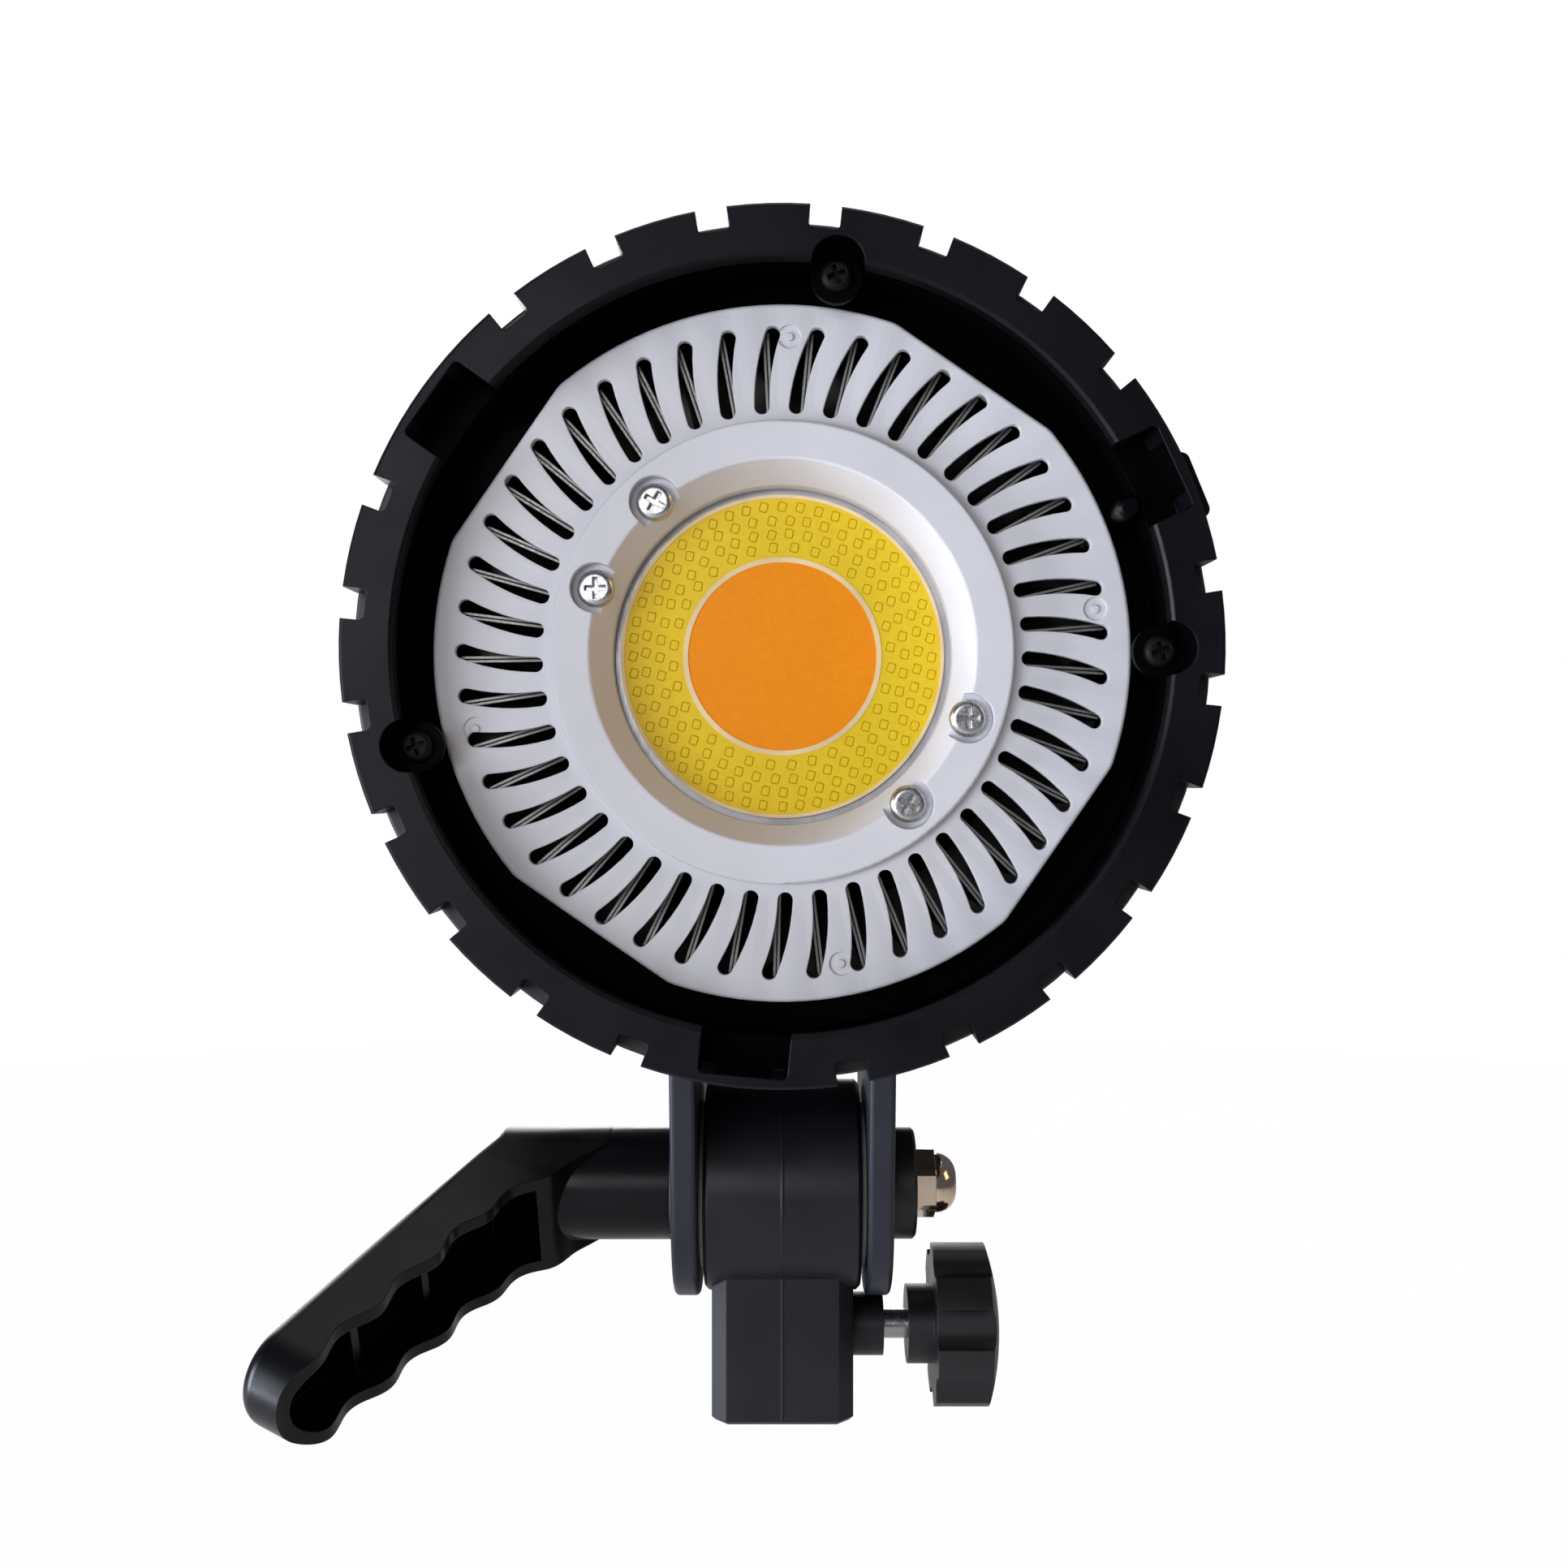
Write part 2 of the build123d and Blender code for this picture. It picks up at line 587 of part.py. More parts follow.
def driver_parts():
    """The mains driver board and what stands on it. The board lies flat, its top at height `top`."""
    top = -28.0
    thick = 1.6
    board = block(84, thick, 112, 170, 0, top - thick / 2)
    upright = Rot(90, 0, 0)

    def can(radius, height, x, depth):
        shape = Pos(x, top + height / 2, -depth) * upright * Cylinder(radius, height)
        return fillet(shape.edges().group_by(Axis.Y)[-1], 0.8)

    core = block(30, 24, 124, 150, -20, top + 12) - block(20, 30, 128, 146, -20, top + 12)
    winding = Pos(-20, top + 12, -137) * upright * Cylinder(8.8, 22)
    transformer = core + block(30, 3, 124, 150, -20, top + 1.5) + winding
    cans = [can(9, 30, 26, 126), can(9, 30, 26, 148), can(5, 16, 6, 120), can(5, 16, 6, 164)]
    sink = block(34, 26, 162, 164.5, -20, top + 13)
    packages = [block(10, 15, 157.5, 162, x, top + 12) for x in (-29, -11)]
    legs = [block(6, 5, 159, 160.5, x, top + 2.5) for x in (-29, -11)]
    standoffs = []
    for x in (-36, 36):
        for depth in (117, 166):
            standoff = Pos(x, -37.5, -depth) * Rot(-90, 0, 0) * extrude(RegularPolygon(2.9, 6), 7.9)
            standoffs.append(standoff)
    return board, transformer, cans, [sink] + [packages[k] + legs[k] for k in range(2)], standoffs


def make_control_board():
    board = block(78, 50, 200, 201.6, 0, PANEL_Y)
    chip = block(10, 10, 198.6, 200, -12, PANEL_Y - 6)
    plug = block(14, 6, 194, 200, 22, PANEL_Y + 12)
    return board + [chip, plug]


def make_control_panel():
    sheet = RectangleRounded(*PANEL_SIZE, 8)
    panel = slab(sheet, REAR_FACE, REAR_FACE + PANEL_THICK, 0, PANEL_Y)
    panel = chamfer(panel.edges().group_by(Axis.Z)[0], 0.3)
    front = REAR_FACE - 1
    back = REAR_FACE + 3
    window = slab(RectangleRounded(LCD_SIZE[0], LCD_SIZE[1], 1.5), front, back, 0, LCD_Y)
    cuts = [window]
    for side in (-1, 1):
        cuts.append(disc(3.7, front, back, side * KNOB_X, KNOB_Y))
        cuts.append(block(9.4, 6.4, front, back, side * BUTTON_X, BUTTON_Y))
    return panel - cuts


def make_encoders():
    """Two rotary encoders with open bushes, on the control board."""
    encoders = []
    for side in (-1, 1):
        x = side * KNOB_X
        body = block(12, 12, 201.6, 208.6, x, KNOB_Y) + disc(3.5, 208.6, 216.6, x, KNOB_Y)
        encoders.append(body - disc(3.05, 203.5, 220, x, KNOB_Y))
    return encoders


def make_knob(side):
    """A fluted cap with a pointer line, and the bore for its shaft."""
    x = side * KNOB_X
    cap = disc(KNOB_R, 217.2, 231, x, KNOB_Y)
    cap = fillet(cap.edges().group_by(Axis.Z)[0], 1.2)
    flutes = []
    for k in range(24):
        dx, dy = polar(KNOB_R + 0.5, 15 * k)
        flutes.append(disc(1.0, 219, 240, x + dx, KNOB_Y + dy))
    pointer = block(1.0, 8, 230.4, 240, x, KNOB_Y + 6)
    return cap - flutes - [pointer, disc(3.0, 216, 227, x, KNOB_Y)]


def make_knob_shaft(side):
    return disc(3.0, 204, 227, side * KNOB_X, KNOB_Y)


def make_button(side):
    """A push button held behind the panel by its flange."""
    x = side * BUTTON_X
    cap = block(9, 6, 209, 218, x, BUTTON_Y)
    cap = fillet(cap.edges().group_by(Axis.Z)[0], 0.7)
    return cap + [block(11.4, 8.4, 209, 211.2, x, BUTTON_Y), disc(1.2, 207.2, 209, x, BUTTON_Y)]


def make_power_switch():
    """The switch body, and the rocker that tips about an upright pin in it."""
    pivot_depth = 213.0
    body = block(19, 13, 200, REAR_FACE, SWITCH_X, LOWER_Y)
    body = body + block(21.5, 15.5, REAR_FACE, REAR_FACE + 1.6, SWITCH_X, LOWER_Y)
    pin_room = Pos(SWITCH_X, LOWER_Y, -pivot_depth) * Rot(90, 0, 0) * Cylinder(0.95, 12.4)
    body = body - [block(18.0, 11.6, 205, 220, SWITCH_X, LOWER_Y), pin_room]
    outline = Polygon((-7.7, 4.2), (0, 3.1), (7.7, 4.2), (6, -3), (-6, -3), align=None)
    rocker = extrude(Rot(90, 0, 0) * outline, 5.4, both=True)
    pins = Rot(90, 0, 0) * Cylinder(0.9, 12.2)
    rocker = Rot(0, 8, 0) * Rot(180, 0, 0) * (rocker + pins)
    return body, Pos(SWITCH_X, LOWER_Y, -pivot_depth) * rocker


def make_mains_inlet():
    half, corner = 12.2, 8.2
    lower = [(-half, -4), (-corner, -corner), (corner, -corner), (half, -4)]
    socket_shape = Polygon(*lower, (half, corner), (-half, corner), align=None)
    shell = block(27, 20, 193, REAR_FACE, INLET_X, LOWER_Y)
    flange = slab(RectangleRounded(31, 24, 2), REAR_FACE, REAR_FACE + 1.8, INLET_X, LOWER_Y)
    recess = slab(socket_shape, 198, REAR_FACE + 3, INLET_X, LOWER_Y)
    pins = []
    for dx, dy in ((-7, 2), (0, -2), (7, 2)):
        pin = block(2, 4, 188, 212, INLET_X + dx, LOWER_Y + dy)
        pins.append(pin)
    return shell + flange - [recess] - pins, pins


def make_fuse_cap():
    cap = disc(6.2, REAR_FACE, REAR_FACE + 3.6, FUSE_X, LOWER_Y)
    cap = fillet(cap.edges().group_by(Axis.Z)[0], 0.8)
    cap = cap + disc(5, 198, REAR_FACE, FUSE_X, LOWER_Y)
    return cap - block(8, 1.4, REAR_FACE + 2.2, REAR_FACE + 5, FUSE_X, LOWER_Y)


# ------------------------------------------------------------------ stand part and its two clamps


def make_stand_block():
    """The knuckle, its stem with the spigot socket, and the boss of the clamp screw."""
    knuckle = bar_x(KNUCKLE_R, -KNUCKLE_HALF, KNUCKLE_HALF, 0, TILT_Z)
    knuckle = chamfer(knuckle.edges(), 0.8)
    stem = Pos(0, 0, TILT_Z / 2) * Box(STEM_WIDTH, STEM_WIDTH, TILT_Z)
    stem = chamfer(stem.edges().filter_by(Axis.Z), STEM_CHAMFER)
    stem = chamfer(stem.edges().group_by(Axis.Z)[0], 0.8)
    boss = bar_x(6.4, 8, BOSS_END, 0, CLAMP_Z)
    body = knuckle + [stem, boss]
    socket_hole = Pos(0, 0, SPIGOT_DEPTH / 2) * Cylinder(SPIGOT_R, SPIGOT_DEPTH)
    cuts = [socket_hole, bar_x(BOLT_R + 0.06, -20, 20, 0, TILT_Z)]
    cuts.append(bar_x(3.3, 5, BOSS_END, 0, CLAMP_Z))
    cuts.append(bar_x(4.5, INSERT_START, BOSS_END + 1, 0, CLAMP_Z))
    return body - cuts


def make_washers():
    """The two friction washers between the knuckle and the ears."""
    washers = []
    for side in (-1, 1):
        start = side * (KNUCKLE_HALF + 0.05)
        end = side * (EAR_INNER - 0.05)
        low, high = min(start, end), max(start, end)
        washer = bar_x(17, low, high, 0, TILT_Z) - bar_x(BOLT_R + 0.1, low - 1, high + 1, 0, TILT_Z)
        washers.append(washer)
    return washers


def make_tilt_bolt():
    bolt = bar_x(BOLT_R, -44, 34, 0, TILT_Z)
    return chamfer(bolt.edges(), 0.6)


def make_tilt_bush():
    bush = bar_x(11.4, EAR_OUTER + 0.1, 27.6, 0, TILT_Z)
    bush = chamfer(bush.edges().group_by(Axis.X)[-1], 0.6)
    return bush - bar_x(BOLT_R + 0.04, 20, 30, 0, TILT_Z)


def make_acorn_nut():
    """Hexagon with rounded corners and a domed blind end."""
    hex_plane = Plane(origin=(27.6, 0, TILT_Z), x_dir=(0, 0, 1), z_dir=(1, 0, 0))
    hexagon = extrude(hex_plane * RegularPolygon(6.5, 6, major_radius=False), 4.2)
    corner_round = bar_x(7.15, 27.6, 31.8, 0, TILT_Z)
    dome = bar_x(6.1, 31.8, 36.4, 0, TILT_Z)
    dome = fillet(dome.edges().group_by(Axis.X)[-1], 4.2)
    return (hexagon & corner_round) + dome - bar_x(BOLT_R, 20, 34, 0, TILT_Z)


def handle_frame():
    """The bend plane: x out along the shaft, y along the bend, z to the upper side wall."""
    tilt = radians(GRIP_TILT)
    return Plane(origin=(0, 0, TILT_Z), x_dir=(-1, 0, 0), z_dir=(0, -sin(tilt), cos(tilt))).location


def grip_frame():
    """Inside the bend plane: x along the grip to its tip, y towards its open finger side."""
    return Pos(GRIP_BACK[0], GRIP_BACK[1], 0) * Rot(0, 0, GRIP_ANGLE)


def finger_depth(along):
    """Depth of the grip from its straight back to its waved finger side."""
    share = max(0.0, along / GRIP_LENGTH)
    depth = GRIP_DEPTH[0] + (GRIP_DEPTH[1] - GRIP_DEPTH[0]) * share
    wave = WAVE_HEIGHT * cos(2 * pi * (along - WAVE_CREST) / WAVE_PITCH)
    fade = min(1.0, max(0.0, (along + 8) / 8))
    return depth + wave * fade + WEB_SLOPE * max(0.0, WEB_END - along)


def grip_side():
    """Side outline of the grip: a back with one bend, a waved finger side, in the grip's own frame."""
    steps = 30
    points = []
    for k in range(steps + 1):
        along = GRIP_START + (GRIP_LENGTH - GRIP_START) * k / steps
        points.append((along, finger_depth(along)))
    tip, root = (GRIP_LENGTH, 0), (GRIP_START, 0)
    back = Polyline(points[-1], tip, BACK_BEND, (BACK_CORNER, 0), root, points[0])
    return make_face(Wire([Spline(points)] + back.edges()))


def hollow_side():
    """Side outline of the hollow, open past the finger side."""
    wall = GRIP_WALL
    end = GRIP_LENGTH - wall
    root = GRIP_START + wall
    corners = [(root, 30), (end, 30), (end, wall), (wall, wall + BACK_BEND[1]), (root, 13)]
    return Polygon(*corners, align=None)


def grip_outline(inset):
    """Outline of the grip seen into its open side: tapered, with a round tip."""
    elbow = GRIP_HALF_WIDTH[0] - inset
    tip = GRIP_HALF_WIDTH[1] - inset
    centre = GRIP_LENGTH - GRIP_HALF_WIDTH[1]
    start = GRIP_START + inset
    lines = [ThreePointArc((centre, tip), (centre + tip, 0), (centre, -tip))]
    lines += [Line((centre, -tip), (0, -elbow)), Line((0, -elbow), (start, -elbow))]
    lines += [Line((start, -elbow), (start, elbow)), Line((start, elbow), (0, elbow))]
    lines += [Line((0, elbow), (centre, tip))]
    return make_face(Wire(lines))


def grip_solid(side_outline, inset):
    """The overlap of a side outline and the finger-side outline."""
    side = extrude(side_outline, 20, both=True)
    front_plane = Plane(origin=(0, 0, 0), x_dir=(1, 0, 0), z_dir=(0, 1, 0))
    front = extrude(front_plane * grip_outline(inset), 40)
    if not inset:
        front = fillet(front.edges().group_by(Axis.Y)[0], 3.5)
    return side & front


def elbow_limit():
    """Room that keeps the grip's root flush with the back of the shaft, round at the elbow."""
    start = 36.0
    back = -(SHAFT_R - 1.0)
    reach = GRIP_LENGTH + 25
    slope = radians(GRIP_ANGLE)
    corner = GRIP_BACK[0] + (back - GRIP_BACK[1]) * cos(slope) / sin(slope)
    far = (GRIP_BACK[0] + reach * cos(slope), GRIP_BACK[1] + reach * sin(slope))
    outline = Polygon((start, back), (corner, back), far, (start, far[1]), align=None)
    outline = fillet(outline.vertices().sort_by_distance((corner, back))[0], ELBOW_ROUND)
    limit = extrude(outline, 30, both=True)
    finger_half = Pos(0, 50, 0) * Box(300, 100, 60)
    shaft_half = ALONG_X * Cylinder(SHAFT_R + 0.1, 300)
    return limit & (finger_half + shaft_half)


def make_tilt_handle():
    outer = grip_frame() * grip_solid(grip_side(), 0)
    shaft_end = 56.0
    shaft = Pos((HANDLE_START + shaft_end) / 2, 0, 0) * ALONG_X * Cylinder(SHAFT_R, shaft_end - HANDLE_START)
    shaft = fillet(shaft.edges().group_by(Axis.X)[-1], 4.0)
    hollow = grip_frame() * grip_solid(hollow_side(), GRIP_WALL)
    hollow = hollow & Pos(HOLLOW_START + 60, 0, 0) * Box(120, 200, 60)
    ribs = []
    for place in RIB_PLACES:
        rib = Pos(place, 0, 0) * Box(RIB_THICKNESS, 2 * (GRIP_DEPTH[1] - 3), 40)
        ribs.append(grip_frame() * rib)
    hollow = hollow - ribs
    handle = (outer & elbow_limit()) + shaft - hollow
    hex_plane = Plane(origin=(HANDLE_START - 1, 0, 0), x_dir=(0, 1, 0), z_dir=(1, 0, 0))
    pocket = extrude(hex_plane * RegularPolygon(6.5, 6, major_radius=False), 23)
    handle = handle - [pocket]
    return handle_frame() * handle


def make_handle_insert():
    hex_plane = Plane(origin=(HANDLE_START + 0.4, 0, 0), x_dir=(0, 1, 0), z_dir=(1, 0, 0))
    insert = extrude(hex_plane * RegularPolygon(6.5, 6, major_radius=False), 21)
    insert = insert - Pos(35, 0, 0) * ALONG_X * Cylinder(BOLT_R + 0.05, 60)
    return handle_frame() * insert


def make_handle_washer():
    washer = bar_x(10.5, -HANDLE_START, -(EAR_OUTER + 0.1), 0, TILT_Z)
    return washer - bar_x(BOLT_R + 0.06, -30, -20, 0, TILT_Z)


def make_star_knob():
    """Hub and a seven-lobed head with a domed outer face."""
    lobe_count = 7
    head = bar_x(16.4, 31.4, 45.2)
    scoops = []
    for k in range(lobe_count):
        y, z = polar(18.2, 360 / lobe_count * k + 12)
        scoops.append(bar_x(4.6, 30, 46, y, z))
    dome = Pos(45.2 - 52, 0, 0) * Sphere(52)
    head = (head - scoops) & dome
    hub = bar_x(8.0, 26.0, 31.4)
    knob = head + hub - bar_x(CLAMP_SCREW_R, 20, 42)
    return Pos(0, 0, CLAMP_Z) * knob


def make_clamp_screw():
    dog_r = 2.0
    screw = bar_x(CLAMP_SCREW_R, 11.3, 42, 0, CLAMP_Z)
    return screw + bar_x(dog_r, 9.4, 11.3, 0, CLAMP_Z)


def make_pressure_pad():
    return bar_x(3.2, 8.3, 11.2, 0, CLAMP_Z) - bar_x(2.05, 9.35, 12, 0, CLAMP_Z)


def make_knob_insert():
    return bar_x(4.5, INSERT_START, BOSS_END, 0, CLAMP_Z) - bar_x(CLAMP_SCREW_R + 0.07, 10, 25, 0, CLAMP_Z)


# ------------------------------------------------------------------ write every node

save_lamp("bayonet_ring", make_bayonet_ring())
ring_screw = pan_screw(2.7, 1.8, 1.2, 9)
ring_seat = RING_DEPTH - RING_TAB
save_lamp("ring_screws", *[Pos(*polar(RING_SCREW_R, a), -ring_seat) * ring_screw for a in RING_SCREW_ANGLES])
save_lamp("front_barrel", make_front_barrel())
save_lamp("vent_plate", make_vent_plate())
save_lamp("cob_retainer", make_cob_retainer())
cob_screw = pan_screw(3.2, 2.0, 1.5, 22)
cob_seat = RETAINER_FRONT + RETAINER_SEAT
cob_place = Pos(RETAINER_SCREW_R, 0, -cob_seat) * cob_screw
cob_screws = [around(cob_place, a) for a in RETAINER_SCREW_ANGLES]
save_lamp("retainer_screws", *cob_screws)
save_lamp("cob_substrate", disc(BOARD_R, BOARD_FRONT, BOARD_BACK))
outer_dam = tube(DAM_R[0], DAM_R[1], COB_FRONT, BOARD_FRONT)
inner_dam = tube(DAM_R[2], DAM_R[3], COB_FRONT, BOARD_FRONT)
save_lamp("cob_dams", outer_dam, inner_dam)
save_lamp("cool_phosphor", tube(DAM_R[1], DAM_R[2], COB_FRONT + 0.2, BOARD_FRONT))
save_lamp("warm_phosphor", disc(DAM_R[3], COB_FRONT + 0.2, BOARD_FRONT))
save_lamp("heat_spreader", make_heat_spreader())
save_lamp("heat_sink", make_heat_sink())
sink_screw = Rot(180, 0, 0) * pan_screw(2.7, 1.4, 1.2, 6)
sink_screws = [Pos(*polar(SINK_SCREW_R, a), -SINK_BACK) * sink_screw for a in SINK_SCREW_ANGLES]
save_lamp("heat_sink_screws", *sink_screws)
switch_place = Pos(*polar(60.5, 30), 0)
save_lamp("thermal_switch", switch_place * block(6, 6, SINK_BACK - 7, SINK_BACK - SINK_FLANGE))
save_lamp("fan_frame", make_fan_frame())
save_lamp("fan_rotor", make_fan_rotor())
fan_screw = Rot(180, 0, 0) * pan_screw(3.4, 2.0, 1.7, 30)
fan_back = SINK_BACK + FAN_DEPTH
save_lamp("fan_screws", *[Pos(x, y, -fan_back) * fan_screw for x, y in fan_screw_places()])
save_lamp("rear_barrel", make_rear_barrel())
barrel_places = [(angle, BARREL_SCREW_DEPTH) for angle in BARREL_SCREW_ANGLES]
save_lamp("barrel_screws", *radial_screws(barrel_places, BARREL_R, pan_screw(2.6, 1.6, 1.2, 5)))
board, transformer, cans, transistors, standoffs = driver_parts()
save_lamp("driver_board", board)
save_lamp("driver_transformer", transformer)
save_lamp("driver_capacitors", *cans)
save_lamp("driver_transistors", *transistors)
save_lamp("board_standoffs", *standoffs)
save_lamp("rear_cover", make_rear_cover())
cover_screw = Rot(180, 0, 0) * pan_screw(2.8, 1.8, 1.2, 38)
cover_seat = REAR_FACE - 2
cover_screws = [Pos(*polar(COVER_SCREW_R, a), -cover_seat) * cover_screw for a in COVER_SCREW_ANGLES]
save_lamp("cover_screws", *cover_screws)
save_lamp("control_panel", make_control_panel())
lcd_window = slab(RectangleRounded(*LCD_SIZE, 1.5), REAR_FACE - 0.6, REAR_FACE + 0.9, 0, LCD_Y)
save_lamp("lcd_window", lcd_window)
save_lamp("lcd_module", block(50, 32, 203.5, REAR_FACE - 3.2, 0, LCD_Y))
save_lamp("control_board", make_control_board())
save_lamp("encoders", *make_encoders())
save_lamp("button_switches", *[block(6, 6, 201.6, 206, s * BUTTON_X, BUTTON_Y) for s in (-1, 1)])
save_lamp("brightness_knob", make_knob(-1))
save_lamp("brightness_shaft", make_knob_shaft(-1))
save_lamp("colour_knob", make_knob(1))
save_lamp("colour_shaft", make_knob_shaft(1))
save_lamp("mode_button", make_button(-1))
save_lamp("preset_button", make_button(1))
switch_body, rocker = make_power_switch()
save_lamp("power_switch_body", switch_body)
save_lamp("power_rocker", rocker)
inlet, inlet_pins = make_mains_inlet()
save_lamp("mains_inlet", inlet)
save_lamp("inlet_pins", *inlet_pins)
save_lamp("fuse_cap", make_fuse_cap())
save_lamp("release_lever", make_release_lever())
save_lamp("lock_pin", make_lock_pin())
save_lamp("lock_spring", make_lock_spring())
save("tilt_yoke", make_tilt_yoke())
save_lamp("yoke_screws", *radial_screws(yoke_screw_places(), YOKE_R, pan_screw(3.8, 2.4, 2.0, 8)))

save("stand_block", make_stand_block())
save("friction_washers", *make_washers())
save("tilt_bolt", make_tilt_bolt())
save("tilt_bush", make_tilt_bush())
save("acorn_nut", make_acorn_nut())
save("handle_washer", make_handle_washer())
save("tilt_handle", make_tilt_handle())
save("handle_insert", make_handle_insert())
save("knob_insert", make_knob_insert())
save("pressure_pad", make_pressure_pad())
save("clamp_screw", make_clamp_screw())
save("star_knob", make_star_knob())
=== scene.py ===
import random
from math import cos, pi, radians, sin

import bmesh
import bpy
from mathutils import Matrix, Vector
from mathutils.geometry import delaunay_2d_cdt


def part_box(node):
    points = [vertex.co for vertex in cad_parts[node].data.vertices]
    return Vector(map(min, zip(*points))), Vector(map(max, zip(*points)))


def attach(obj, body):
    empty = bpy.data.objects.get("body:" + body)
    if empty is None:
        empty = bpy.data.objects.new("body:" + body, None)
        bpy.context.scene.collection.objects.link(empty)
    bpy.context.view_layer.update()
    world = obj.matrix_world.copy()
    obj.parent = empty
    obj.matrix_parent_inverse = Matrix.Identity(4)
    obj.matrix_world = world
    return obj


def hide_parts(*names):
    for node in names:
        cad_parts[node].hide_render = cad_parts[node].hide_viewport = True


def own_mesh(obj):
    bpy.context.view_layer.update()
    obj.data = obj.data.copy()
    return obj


# The looks of a bi-colour studio spotlight on its tilt bracket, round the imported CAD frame.
# Blender's own lengths are metres in the frame of the CAD, where the head faces -Y and the clamp handle
# is on the -X side. Sizes and places on the head are in mm: x and y beside its optical axis, and depth
# behind the front face of its bayonet ring.

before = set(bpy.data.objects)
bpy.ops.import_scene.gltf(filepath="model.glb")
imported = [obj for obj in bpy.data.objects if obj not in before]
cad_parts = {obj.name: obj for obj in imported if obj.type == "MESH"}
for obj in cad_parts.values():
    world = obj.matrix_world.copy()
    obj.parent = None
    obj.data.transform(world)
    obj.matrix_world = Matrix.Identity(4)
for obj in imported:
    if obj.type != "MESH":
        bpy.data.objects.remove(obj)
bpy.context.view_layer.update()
scene = bpy.context.scene

MM = 0.001


def middle_of(name):
    """Middle of a CAD node's box in mm. Rounding takes out how far a meshed circle is off centre."""
    low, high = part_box(name)
    return [round((a + b) / 2 / MM, 2) for a, b in zip(low, high)]


FRONT_Y = round(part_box("bayonet_ring")[0][1] / MM, 2)
AXIS_Z = middle_of("vent_plate")[2]


def beside_axis(name):
    """Where the middle of a CAD node is beside the optical axis."""
    x, _, z = middle_of(name)
    return x, z - AXIS_Z


def depths_of(name):
    """Depth of a CAD node's front and back."""
    return [round(corner[1] / MM - FRONT_Y, 2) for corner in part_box(name)]


# ------------------------------------------------------------------ camera, light, stage

CAMERA_AT = (0.0003, -0.336, 0.1295)
LENS = 36.6
SENSOR = 36.0
FLOOR_Z = -0.30
FLOOR_R = 2.4
FLOOR_STEPS = 96
FLOOR_RINGS = 24
LIT_POINT = (0, -0.05, 0.13)
STUDIO_LIGHTS = (  # name, place, width and height, watts, colour
    ("key_left", (-1.0, -1.25, -0.2), (0.8, 1.1), 22, (0.88, 0.91, 1.0)),
    ("edge_left", (-1.25, -0.3, -0.1), (0.25, 0.9), 24, (0.8, 0.87, 1.0)),
    ("fill_right", (1.2, -0.5, 0.75), (0.5, 0.6), 2.6, (1.0, 0.66, 0.38)),
    ("top", (0.0, 0.1, 1.5), (1.4, 1.0), 5, (1.0, 0.97, 0.94)),
    ("back", (-0.5, 1.6, 0.6), (1.6, 1.2), 20, (1, 1, 1)),
    ("front", (-0.4, -1.7, 0.5), (0.6, 0.5), 5, (0.97, 0.97, 1.0)),
)


def make_camera():
    data = bpy.data.cameras.new("camera")
    data.lens = LENS
    data.sensor_width = SENSOR
    data.clip_start = 0.01
    camera = bpy.data.objects.new("camera", data)
    camera.location = CAMERA_AT
    camera.rotation_euler = (radians(90), 0, 0)
    scene.collection.objects.link(camera)
    scene.camera = camera


def area_light(name, place, size, power, colour):
    data = bpy.data.lights.new(name, "AREA")
    data.shape = "RECTANGLE"
    data.size, data.size_y = size
    data.energy = power
    data.color = colour
    light = bpy.data.objects.new(name, data)
    light.location = place
    aim = Vector(LIT_POINT) - Vector(place)
    light.rotation_euler = aim.to_track_quat("-Z", "Y").to_euler()
    light.visible_camera = False
    scene.collection.objects.link(light)


def show_camera(tree, out, shown, room):
    """Let the camera see one shader directly, while light in the room meets the other."""
    mix = tree.nodes.new("ShaderNodeMixShader")
    path = tree.nodes.new("ShaderNodeLightPath")
    tree.links.new(path.outputs["Is Camera Ray"], mix.inputs[0])
    tree.links.new(room.outputs[0], mix.inputs[1])
    tree.links.new(shown.outputs[0], mix.inputs[2])
    tree.links.new(mix.outputs[0], out.inputs[0])


def make_world():
    """A dim, cool room behind a white backdrop."""
    world = bpy.data.worlds.new("studio")
    scene.world = world
    world.use_nodes = True
    tree = world.node_tree
    tree.nodes.clear()
    out = tree.nodes.new("ShaderNodeOutputWorld")
    room = tree.nodes.new("ShaderNodeBackground")
    room.inputs["Color"].default_value = (0.86, 0.88, 1.0, 1)
    room.inputs["Strength"].default_value = 0.12
    backdrop = tree.nodes.new("ShaderNodeBackground")
    backdrop.inputs["Color"].default_value = (1, 1, 1, 1)
    backdrop.inputs["Strength"].default_value = 1.0
    show_camera(tree, out, backdrop, room)


def floor_paper():
    """White paper with a faint unevenness."""
    material = bpy.data.materials.new("floor")
    material.use_nodes = True
    tree = material.node_tree
    tree.nodes.clear()
    out = tree.nodes.new("ShaderNodeOutputMaterial")
    paper = tree.nodes.new("ShaderNodeBsdfDiffuse")
    paper.inputs["Color"].default_value = (0.8, 0.8, 0.8, 1)
    grain = tree.nodes.new("ShaderNodeTexNoise")
    grain.inputs["Scale"].default_value = 3.0
    tone = tree.nodes.new("ShaderNodeMapRange")
    tone.inputs["To Min"].default_value = 0.985
    tone.inputs["To Max"].default_value = 1.0
    glow = tree.nodes.new("ShaderNodeEmission")
    tree.links.new(grain.outputs["Fac"], tone.inputs["Value"])
    tree.links.new(tone.outputs[0], glow.inputs["Strength"])
    show_camera(tree, out, glow, paper)
    return material


